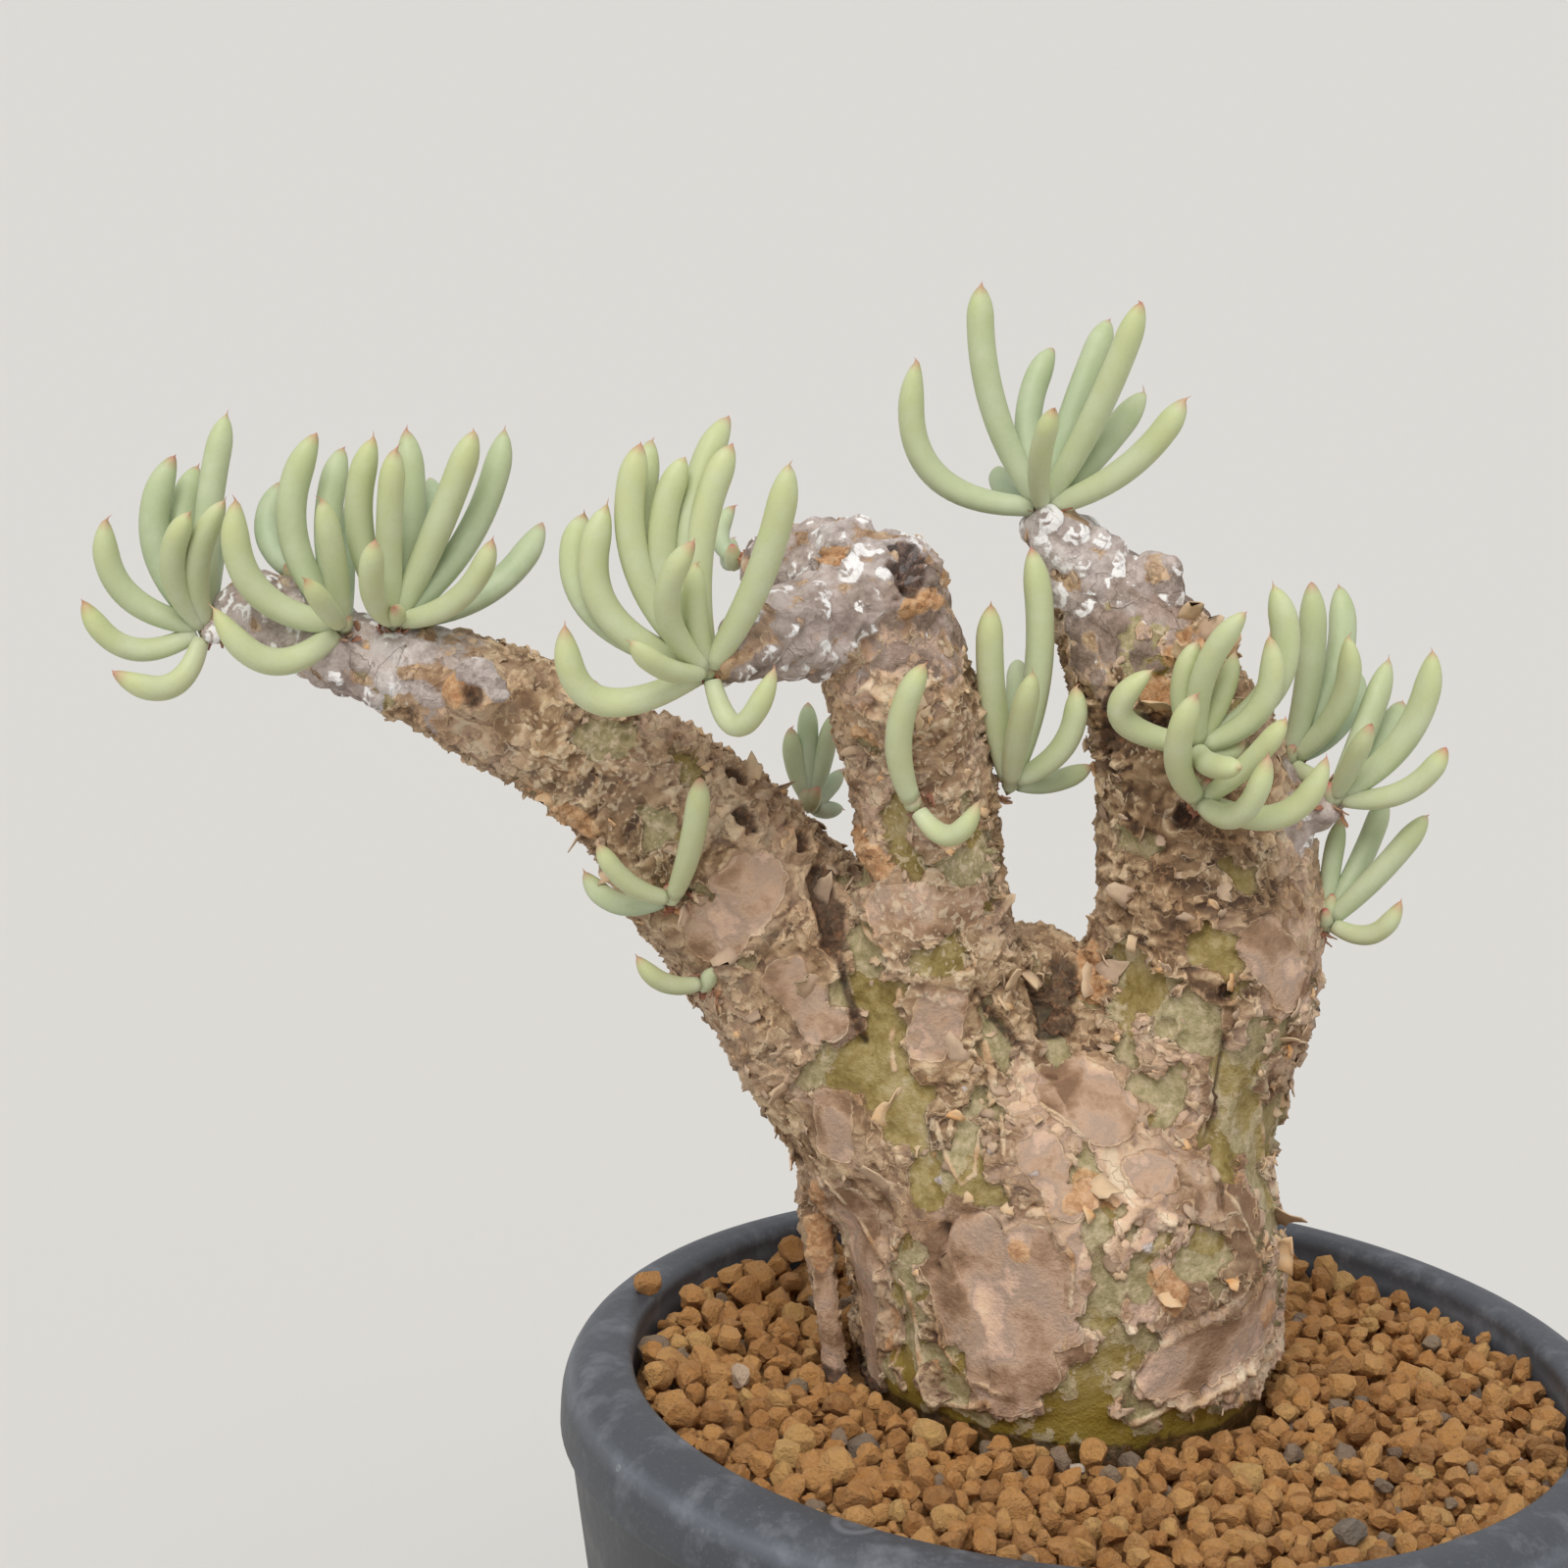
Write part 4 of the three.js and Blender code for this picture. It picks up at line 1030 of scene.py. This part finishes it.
    relief = 1.1 * noise_field(points, 13.0, 41) * np.clip(radius / 12, 0.2, 1)
    relief += 0.4 * noise_field(points, 5.0, 43) * (1 - 0.5 * plate)
    peel = 0.25 * (bare_edge > 0) + 0.5 * has_cork + 0.3 * np.exp(-np.abs(cork_edge) / 0.35) * has_cork
    peel += 0.6 * has_cork * np.where(plate > 0.5, 0.9, slab_level)
    peel += 0.4 * np.exp(-np.abs(upper_edge) / 0.3) * (upper_edge > 0) * has_cork
    peel += loose_bark * (0.7 * flake_level + (0.45 + 0.3 * young) * scale_level) + 0.5 * wrinkle
    relief += settings.relief / MM * (peel - 1.3) * (1 - silver) * np.clip(radius / 6, 0.55, 1)
    relief += 0.4 * mound + 0.35 * crescent + 0.1 * ragged * silver + 0.2 * white
    relief += 0.2 * smooth_step(-0.2, 0.3, paint["tan"]) - 0.7 * smooth_step(-0.4, 0.8, paint["dark"])

    # Lines and knots
    pale = np.full(len(points), -1.0)
    for height, half_width, paleness, *places in BARK_LINES:
        away = line_distance(points, line_places(tree, places), 4 * half_width)
        raised = bell(away, 0.0, half_width) * (1 + 0.3 * ragged)
        relief += height * raised
        if paleness:
            pale = np.maximum(pale, 2 * paleness * raised - 1)
        else:
            # A groove that is not pale is painted dark, as shade in it
            paint["dark"] = np.maximum(paint["dark"], 0.35 * half_width - away)
    for column, row, width, darkness in KNOTS:
        hit, _ = surface_hit(tree, column, row)
        away = line_distance(points, np.array([tuple(hit)]), 3 * width) + 0.4 * width * ragged
        ring = bell(away, 0.9 * width, 0.28 * width)
        sunk = (1 - smooth_step(0, 0.8 * width, away)) * darkness
        relief = (relief * (1 - 0.8 * sunk) + (0.8 - 0.3 * darkness) * ring - 0.65 * width * sunk
                  + 0.4 * sunk * ragged)
        pale = np.maximum(pale, ring * 1.1 - 1)
        # A deep knot's middle is painted dark, as shade in its hollow
        if darkness > 0.4:
            paint["dark"] = np.maximum(paint["dark"], 0.7 * width - away)

    # Painted shade along the foot of the trunk, where it meets the soil
    paint["dark"] = np.maximum(paint["dark"], 0.6 - above_soil + 0.4 * ragged)
    moved = points + normals * relief[:, None] * MM
    mesh.vertices.foreach_set("co", moved.astype(np.float32).ravel())
    mesh.update()

    luck = np.random.RandomState(9).uniform(0, 1, (3, len(points)))
    tone = 0.5 + 0.55 * (luck[0][slab] - 0.5) + 0.6 * (luck[1][flake] - 0.5) * (1 - 0.6 * plate)
    tone += 0.45 * (luck[2][scale] - 0.5) * loose_bark + 0.35 * noise_field(drawn_out, 6.0, 61)
    mottled = 0.45 * noise_field(points, 2.6, 62, 3)
    plate_tone = 0.3 + 0.45 * (luck[0][slab] - 0.5) + 0.7 * mottled
    tone = np.where(paint["plate"] > 0, plate_tone, tone + 0.5 * mottled)
    level = 0.15 + 0.45 * scale_level + 0.3 * flake_level + 0.25 * wrinkle
    earthy = 0.8 * smooth_step(0, 2.5, paint["brown"])
    brown = np.clip(0.75 * young + 0.6 * noise_field(points, 8.0, 71) + earthy, 0, 1) * (1 - 0.8 * plate)
    level -= 0.22 * earthy
    crest = np.maximum(wrinkle * (0.5 * young + 0.5 * net), crescent)
    pallor = 0.9 * fresh * (1 - smooth_step(1.2, 2.6, to_scar + 0.5 * ragged))
    silver = np.maximum(silver, 0.9 * white)
    pallor = np.maximum(pallor, white)
    brown = np.where(silver > 0.2, pallor, brown)
    masks = {"cover": bare_edge, "cork": cork_edge, "upper": np.where(has_cork, upper_edge, FAR),
             "small": small_edge, "line": pale, "tan": paint["tan"], "dark": paint["dark"]}
    masks = {name: np.clip(0.5 + 0.5 * value, 0, 1) for name, value in masks.items()}
    masks.update(silver=silver, tone=tone, level=level, brown=brown, crest=crest)
    for layer, names in BARK_MASKS.items():
        store_colours(mesh, layer, [masks[name] for name in names])

    edge = np.minimum(np.where(has_cork, cork_edge, FAR), np.where(upper_edge > 0.02, upper_edge, FAR))
    loose = (edge < 0.25) & (silver < 0.3) & (moved[:, 2] > SOIL_LEVEL + 2 * MM)
    loose &= (paint["plate"] < 0) & (paint["dark"] < -0.3) & (paint["tan"] < 0)
    ways = np.where((cork_edge < upper_edge)[:, None], points - points[middle], points - points[flake])
    return moved[loose], normals[loose], ways[loose], radius[loose]


def make_flake(rng, at, out, way, size, lift, curl, tint, bm, layer):
    """One torn flake of cork: fast to the bark at one end, lifting and curling at the other.
    size is its length and width, tint its tone and how red it is."""
    length, width = size
    made = bmesh.ops.create_grid(bm, x_segments=4, y_segments=3, size=0.5)["verts"]
    way = (way - out * way.dot(out)).normalized()
    across = out.cross(way)
    seed = Vector((rng.random() * 50, rng.random() * 50, 0))
    for vertex in made:
        u, v = vertex.co.x + 0.5, vertex.co.y * 2
        torn = noise.noise(Vector((u * 1.5, v * 1.3, 0)) + seed)
        turn = lift + curl * u
        run = (math.sin(turn) - math.sin(lift)) / curl
        rise = (math.cos(lift) - math.cos(turn)) / curl
        reach = length * (1 + 0.6 * torn * u - 0.25 * v * v * u)
        side = v * 0.5 * width * (1 - 0.3 * u * u + 0.5 * torn)
        vertex.co = (at + way * (run * reach - 0.15 * length) + across * side
                     + out * (rise * reach - 0.1 * MM - 0.1 * v * v * width))
        vertex[layer] = (tint[0], u, tint[1], 1)


class CAUDEX_OT_make(bpy.types.Operator):
    """Make the swollen trunk and its branches, with the flakes that peel off them"""
    bl_idname = "tylecodon.make_caudex"
    bl_label = "Caudex and flakes"

    def execute(self, context):
        settings = context.scene.tylecodon_bark
        mesh = bark_base(settings)
        loose = bark_relief(mesh, settings)
        tree = surface_tree(mesh)
        share = settings.triangles / (2 * len(mesh.polygons))
        if share < 1:
            mesh = apply_modifiers(mesh, (("DECIMATE", {"ratio": share}),))
        keep("caudex_bark", mesh, ["caudex"], bark_material())
        flakes = self.flakes(tree, loose, settings)
        keep("bark_flakes", flakes, ["caudex"], flake_material())
        return {"FINISHED"}

    def flakes(self, tree, loose, settings):
        rng = random.Random(11)
        makers = []
        for column, row, length, width, turn, lift in KNOWN_FLAKES:
            hit, normal = surface_hit(tree, column, row)
            if hit is None:
                continue
            angle = math.radians(turn)
            way = RIGHT * math.cos(angle) + UP * math.sin(angle)
            # make_flake's torn edges reach a little past its size
            size = (0.8 * length * MM, 0.9 * width * MM)
            makers.append(partial(make_flake, rng, hit, normal, way, size, math.radians(lift),
                                  rng.uniform(0.3, 1.0), (rng.uniform(0.4, 0.85), 0.0)))
        for _ in range(settings.flakes):
            i = rng.randrange(len(loose[0]))
            at, out, way = (Vector(part[i]) for part in loose[:3])
            length = rng.uniform(0.5, 1.2) * (0.7 + 0.3 * min(1, loose[3][i] / 15)) * MM
            size = (length, length * rng.uniform(1.0, 2.4))
            lift = rng.uniform(0.05, 0.45)
            curl = rng.choice((-1, 1)) * rng.uniform(0.2, 0.9)
            makers.append(partial(make_flake, rng, at, out, way, size, lift, curl,
                                  (rng.uniform(0.0, 0.95), 0.0)))
        # Dry reddish scales at the foot of each tuft
        scales = 8
        for base_place, _ in TUFTS.values():
            base = place(*base_place)
            for i in range(scales):
                spin = 2 * math.pi * (i + rng.random()) / scales
                way = RIGHT * math.cos(spin) + UP * math.sin(spin) + AHEAD * rng.uniform(-0.4, 0.4)
                hit, normal, _, _ = tree.find_nearest(base + way * rng.uniform(0.8, 1.6) * MM)
                size = (rng.uniform(0.8, 1.5) * MM, rng.uniform(0.7, 1.2) * MM)
                makers.append(partial(make_flake, rng, hit, normal, hit - base, size, rng.uniform(0.4, 1.0),
                                      rng.uniform(0.2, 0.8), (rng.random(), rng.uniform(0.4, 0.9))))
        return apply_modifiers(gather("bark_flakes", "flake_tone", makers), (
            ("SOLIDIFY", {"thickness": 0.13 * MM, "offset": 0.0}),))


def leaf_curve(base, depth, leaf, start):
    """The leaf's path: it passes its bend as far along as the bend lies, and ends at its tip."""
    bend_column, bend_row, tip_column, tip_row, lean = leaf
    bend = place(bend_column, bend_row, depth + 0.65 * lean)
    tip = place(tip_column, tip_row, depth + lean)
    foot = base + (bend - base).normalized() * start
    lower = (bend - foot).length
    along = lower / (lower + (tip - bend).length)
    control = (bend - foot * (1 - along) ** 2 - tip * along ** 2) / (2 * along * (1 - along))
    return lambda t: foot * (1 - t) ** 2 + control * (2 * t * (1 - t)) + tip * t * t


class LEAVES_OT_make(bpy.types.Operator):
    """Make every leaf of every tuft, one piece a tuft"""
    bl_idname = "tylecodon.make_leaves"
    bl_label = "Leaves"

    def execute(self, context):
        settings = context.scene.tylecodon_leaf
        material = leaf_material(settings.flesh)
        rng = random.Random(5)
        for name, (base_place, leaves) in TUFTS.items():
            base = place(*base_place)
            makers = [partial(self.add_leaf, base, base_place[2], leaf, settings, rng) for leaf in leaves]
            buds = 3 if len(leaves) > 3 else 1
            makers += [partial(self.add_bud_scale, base, rng)] * buds
            mesh = gather(f"leaves_{name}", "leaf_place", makers)
            keep(f"leaves_{name}", mesh, [f"leaf_tuft_{name}"], material)
        return {"FINISHED"}

    def add_leaf(self, base, depth, leaf, settings, rng, bm, layer):
        curve = leaf_curve(base, depth, leaf, settings.start)
        # The rings crowd towards the tip
        crowding, flatness = 1.5, 0.88
        shares = [1 - (1 - i / settings.rings) ** crowding for i in range(settings.rings + 1)]
        points = [curve(share) for share in shares]
        length = sum((b - a).length for a, b in zip(points, points[1:]))
        # A long leaf is thicker, up to a full-grown one
        full = settings.radius * min(1.06, 0.56 + 0.028 * length / MM) * rng.uniform(0.94, 1.06)
        dry, bluntness = rng.uniform(0.3, 0.9) * MM, rng.uniform(2.0, 2.9)
        droop = Vector((rng.gauss(0, 0.5), rng.gauss(0, 0.5), rng.gauss(0, 0.3))) * dry
        radii = []
        for i, share in enumerate(shares):
            to_tip = (1 - share) * length
            inset = max(0, 1 - max(0, to_tip - 0.6 * dry) / (bluntness * full))
            flesh = full * catmull(LEAF_FLESH, share) * (1 - inset ** 2) ** 0.62
            radii.append(max(flesh, 0.15 * MM * min(1, to_tip / dry)))
            points[i] += droop * max(0, 1 - to_tip / dry) ** 2
        tint = rng.random()
        # A leaf far back is painted bluer, as painted shade
        shade_blue = 0.12 + leaf[4] / 18 + depth / 60 + rng.uniform(-0.1, 0.1)
        colour = self.colour(tint, shade_blue, length, rng)
        points, radii = [points[0] * 1.1 - points[1] * 0.1] + points, [0.0] + radii
        sleeve(bm, points, radii, settings.sides, flatness, layer, colour, [0.0] + shares)

    def add_bud_scale(self, base, rng, bm, layer):
        up = Vector((rng.uniform(-0.5, 0.5), rng.uniform(-0.6, 0.3), 1)).normalized()
        size = rng.uniform(1.6, 3.2) * MM
        points = [base + up * size * s for s in (-0.4, -0.1, 0.3, 0.65, 0.9, 1.0)]
        radii = [0.0, 0.75 * MM, 0.9 * MM, 0.72 * MM, 0.4 * MM, 0.0]
        sleeve(bm, points, radii, 8, 1, layer, self.colour(rng.random(), 0.0, size, rng))

    def colour(self, tint, shade_blue, length, rng):
        """A leaf's colour values at a share of its length, facing a way: its underside is painted
        bluer as shade, and about its last millimetre is reddish."""
        red, reach = rng.uniform(0.8, 1.0), rng.uniform(0.9, 1.6) * MM / length

        def values(share, facing):
            blue = shade_blue + 0.3 * max(0.0, -facing.z - 0.1) + 0.2 * (1 - share)
            reddened = red * min(1, max(0, (share - 1 + reach) / reach)) ** 1.4
            return share, tint, max(0.0, min(1.0, blue)), reddened
        return values


def pot_profile(settings):
    """The pot's half outline from the middle of its underside round to the middle of its floor."""
    lip_radius, height = POT_HIGH.x, POT_HIGH.z
    lip_drop, corner = 5.4 * MM, 1.2 * MM

    def arc(centre_radius, centre_height, wide, high, start, end, steps):
        angles = [math.radians(start + (end - start) * i / steps) for i in range(steps + 1)]
        return [(centre_radius + wide * math.cos(a), centre_height + high * math.sin(a)) for a in angles]

    profile = [(0, 0), (POT_FOOT * 0.5, 0)]
    profile += arc(POT_FOOT - corner, corner, corner, corner, -90, 0, 4)
    profile += [(lip_radius - 0.9 * MM, height - LIP_DEPTH - 0.4 * MM)]
    profile += arc(lip_radius - 0.7 * MM, height - LIP_DEPTH + 0.6 * MM, 0.7 * MM, 0.7 * MM, -50, 0, 3)
    profile += arc(lip_radius - settings.lip_round, height - lip_drop, settings.lip_round, lip_drop,
                   0, 90, 10)
    profile += arc(POT_MOUTH + corner, height - corner, corner, corner, 90, 180, 5)
    inside = POT_FOOT - settings.wall
    profile += [(POT_MOUTH, height - LIP_DEPTH), (inside, POT_FLOOR + 1 * MM)]
    profile += [(inside - 1 * MM, POT_FLOOR), (POT_FOOT * 0.5, POT_FLOOR), (0, POT_FLOOR)]
    return profile


class POT_OT_make(bpy.types.Operator):
    """Make the round pot with its drain holes"""
    bl_idname = "tylecodon.make_pot"
    bl_label = "Pot"

    def execute(self, context):
        settings = context.scene.tylecodon_pot
        pot = mesh_from(turned(pot_profile(settings), settings.steps), "pot_shell")
        bm = bmesh.new()
        for i in range(DRAINS["count"]):
            turn = Matrix.Rotation(math.radians(360 / DRAINS["count"] * i), 4, "Z")
            at = turn @ Matrix.Translation((DRAINS["ring"], 0, POT_FLOOR / 2))
            bmesh.ops.create_cone(bm, cap_ends=True, segments=32, radius1=DRAINS["radius"],
                                  radius2=DRAINS["radius"], depth=DRAINS["depth"], matrix=at)
        drills = bpy.data.objects.new("drills", mesh_from(bm, "drills"))
        context.scene.collection.objects.link(drills)
        pot = apply_modifiers(pot, (
            ("BOOLEAN", {"object": drills, "operation": "DIFFERENCE", "solver": "EXACT"}),
        ))
        bpy.data.objects.remove(drills)
        keep("pot_shell", pot, ["pot"], pot_material(settings.colour))
        return {"FINISHED"}


def inside_radius(height):
    """The pot's inner radius at a height."""
    rise = (height - POT_FLOOR) / (POT_HIGH.z - LIP_DEPTH - POT_FLOOR)
    low = POT_FOOT - POT_WALL
    return low + (POT_MOUTH - low) * min(rise, 1)


def add_grain(rng, at, radius, colour, bm, layer):
    """One granule: a ball with flat chips knocked off, so it is rounded but angular."""
    angle = rng.uniform(0, 2 * math.pi)
    turn = Matrix.Rotation(angle, 4, Vector((rng.random(), rng.random(), rng.random() + 0.1)))
    shape = Matrix.Diagonal((radius * rng.uniform(1.0, 1.3), radius * rng.uniform(0.95, 1.2),
                             radius * rng.uniform(0.85, 1.1), 1))
    chips = []
    for _ in range(CHIPS):
        way = Vector((rng.gauss(0, 1), rng.gauss(0, 1), rng.gauss(0, 1))).normalized()
        chips.append((way, rng.uniform(0.5, 0.85)))
    for vertex in bmesh.ops.create_icosphere(bm, subdivisions=2, radius=1)["verts"]:
        p = vertex.co.copy()
        for way, depth in chips:
            p -= way * max(0, p.dot(way) - depth)
        p *= 1 + 0.16 * noise.noise(p * 2.2 + at / MM)
        vertex.co = at + (turn @ shape @ p).to_3d()
        vertex[layer] = colour


class SOIL_OT_make(bpy.types.Operator):
    """Make the bed of clay granules and the drainage gravel under it"""
    bl_idname = "tylecodon.make_soil"
    bl_label = "Soil"

    def execute(self, context):
        settings = context.scene.tylecodon_soil
        rng = random.Random(settings.seed)
        trunk = surface_tree(bpy.data.objects["caudex_bark"].data)
        makers = []
        for at, radius in self.drop_grains(settings, rng, trunk):
            tone = min(1, max(0, rng.gauss(0.55, 0.22)))
            grey = 0.75 if rng.random() < 0.045 else 0.0
            pale = 0.8 if rng.random() < 0.004 else 0.0
            makers.append(partial(add_grain, rng, at, radius, (tone, grey, pale, 1.0)))
        for column, row, radius, height, grey, pale in KNOWN_GRAINS:
            line = sight_line(column, row)
            reach = (POT_HIGH.z + (height + 0.8 * radius) * MM - EYE.z) / line.z
            makers.append(partial(add_grain, rng, EYE + line * reach, radius * MM, (0.5, grey, pale, 1.0)))
        mesh = gather("clay_granules", "grain_tone", makers)
        material = granule_material()
        keep("clay_granules", mesh, ["grit_soil"], material, smooth=False)
        bed = self.filling(SOIL_LOW.z, SOIL_LEVEL - 2 * MM, "soil_bed")
        count = len(bed.vertices)
        # The bed takes the darkest clay tone, as painted shade down between the granules
        store_colours(bed, "grain_tone", [np.full(count, value) for value in (0.05, 0.0, 0.0, 1.0)])
        keep("soil_bed", bed, ["grit_soil"], material)
        stones = self.filling(GRAVEL_LOW.z, GRAVEL_HIGH.z, "drainage_stones")
        keep("drainage_stones", stones, ["drainage_gravel"], gravel_material())
        return {"FINISHED"}

    def filling(self, low, high, name):
        """A turned filling of the pot with a rough top, clear of the wall by a hair."""
        rings, clearance, rough = 14, 0.3 * MM, 0.8 * MM
        profile = [(0, low), (inside_radius(low) - clearance, low)]
        profile += [((inside_radius(high) - clearance) * (1 - i / rings), high) for i in range(rings + 1)]
        bm = turned(profile, 72)
        for vertex in bm.verts:
            if vertex.co.z > high - 0.1 * MM and vertex.co.xy.length < inside_radius(high) - 2 * MM:
                vertex.co.z += rough * noise.noise(vertex.co / (3 * MM)) - rough / 2
        return mesh_from(bm, name)

    def drop_grains(self, settings, rng, trunk):
        """Drops granules one by one; each lies on those that it lands on, at the lowest of a few places."""
        settled = []
        cells = {}
        cell = settings.grain * 1.3
        packing, places = 0.86, 14
        floor, ceiling, trunk_gap = SOIL_LEVEL - 3.4 * MM, SOIL_LEVEL + 0.7 * MM, 0.7 * MM

        def heap(x, y):
            """How much higher the soil stands towards the pot's left and back wall."""
            along = (0.4 * y - x) / (45 * MM)
            return 1.7 * MM * smooth_step(28, 42, math.hypot(x, y) / MM) * smooth_step(-0.6, 0.6, along)

        def rest_height(x, y, radius):
            height = floor + heap(x, y)
            key = (int(x // cell), int(y // cell))
            for i in (-1, 0, 1):
                for j in (-1, 0, 1):
                    for ox, oy, oz, other in cells.get((key[0] + i, key[1] + j), ()):
                        reach = (radius + other) * packing
                        flat = (x - ox) ** 2 + (y - oy) ** 2
                        if flat < reach * reach:
                            height = max(height, oz + math.sqrt(reach * reach - flat))
            return height

        for _ in range(settings.tries):
            radius = settings.grain * 0.5 * min(1.4, max(0.62, rng.gauss(1.0, 0.24)))
            best = None
            for _ in range(places):
                angle = rng.uniform(0, 2 * math.pi)
                reach = (POT_MOUTH - 0.15 * MM - radius) * math.sqrt(rng.random())
                x, y = reach * math.cos(angle), reach * math.sin(angle)
                height = rest_height(x, y, radius)
                at = Vector((x, y, height))
                hit, normal, _, distance = trunk.find_nearest(at)
                inside = (at - hit).dot(normal) < 0
                if inside or distance < radius * 0.85 + trunk_gap:
                    continue
                if best is None or height < best.z:
                    best = at
            if best is None or best.z > ceiling + heap(best.x, best.y):
                continue
            cells.setdefault((int(best.x // cell), int(best.y // cell)), []).append((*best, radius))
            settled.append((best, radius))
        return settled


class STAGE_OT_make(bpy.types.Operator):
    """Make the floor, the light, the sky and the camera"""
    bl_idname = "tylecodon.make_stage"
    bl_label = "Stage"

    def execute(self, context):
        settings = context.scene.tylecodon_stage
        scene = context.scene
        bm = bmesh.new()
        bmesh.ops.create_grid(bm, x_segments=1, y_segments=1, size=settings.floor_size / 2)
        mesh = mesh_from(bm, "floor")
        floor = bpy.data.objects.new("floor", mesh)
        material, add = new_material("pale_studio_floor")
        add("OutputMaterial", {"Surface": add("BsdfPrincipled", {
            "Base Color": "#cfcdc9", "Roughness": 0.85})})
        mesh.materials.append(material)
        scene.collection.objects.link(floor)

        lamp = bpy.data.lights.new("main_light", "SUN")
        lamp.energy = settings.sun
        lamp.angle = settings.softness
        lamp.color = (1.0, 0.975, 0.94)
        light = bpy.data.objects.new("main_light", lamp)
        light.rotation_euler = Vector((-0.12, -0.56, 0.8)).to_track_quat("Z", "Y").to_euler()
        scene.collection.objects.link(light)

        world = bpy.data.worlds.new("studio_air")
        world.use_nodes = True
        background = world.node_tree.nodes["Background"]
        background.inputs["Color"].default_value = to_linear("#f1f2f4")
        background.inputs["Strength"].default_value = settings.world
        scene.world = world

        lens = bpy.data.cameras.new("camera")
        lens.sensor_fit = "HORIZONTAL"
        lens.angle = math.radians(VIEW["lens"])
        lens.clip_start = 0.01
        camera = bpy.data.objects.new("camera", lens)
        camera.matrix_world = Matrix.Translation(EYE) @ Matrix((RIGHT, UP, -AHEAD)).transposed().to_4x4()
        scene.collection.objects.link(camera)
        scene.camera = camera
        scene.view_settings.view_transform = "Standard"
        return {"FINISHED"}


class TYLECODON_PT_panel(bpy.types.Panel):
    """Lists the pieces' settings and their operators"""
    bl_idname = "TYLECODON_PT_panel"
    bl_label = "Potted Tylecodon"
    bl_space_type = "VIEW_3D"
    bl_region_type = "UI"
    bl_category = "Tylecodon"

    def draw(self, context):
        for group, _ in SETTINGS:
            settings = getattr(context.scene, group)
            for name in settings.__annotations__:
                self.layout.prop(settings, name)
        for operator in OPERATORS:
            self.layout.operator(operator.bl_idname)


SETTINGS = (
    ("tylecodon_pot", PotSettings), ("tylecodon_soil", SoilSettings), ("tylecodon_bark", BarkSettings),
    ("tylecodon_leaf", LeafSettings), ("tylecodon_stage", StageSettings),
)
OPERATORS = (STAGE_OT_make, POT_OT_make, CAUDEX_OT_make, LEAVES_OT_make, SOIL_OT_make)


def register():
    for name, settings in SETTINGS:
        bpy.utils.register_class(settings)
        setattr(bpy.types.Scene, name, PointerProperty(type=settings))
    for each in (*OPERATORS, TYLECODON_PT_panel):
        bpy.utils.register_class(each)


def unregister():
    for each in reversed((*OPERATORS, TYLECODON_PT_panel)):
        bpy.utils.unregister_class(each)
    for name, settings in reversed(SETTINGS):
        delattr(bpy.types.Scene, name)
        bpy.utils.unregister_class(settings)


def main():
    register()
    for operator in OPERATORS:
        group, action = operator.bl_idname.split(".")
        getattr(getattr(bpy.ops, group), action)()


if __name__ == "__main__":
    main()
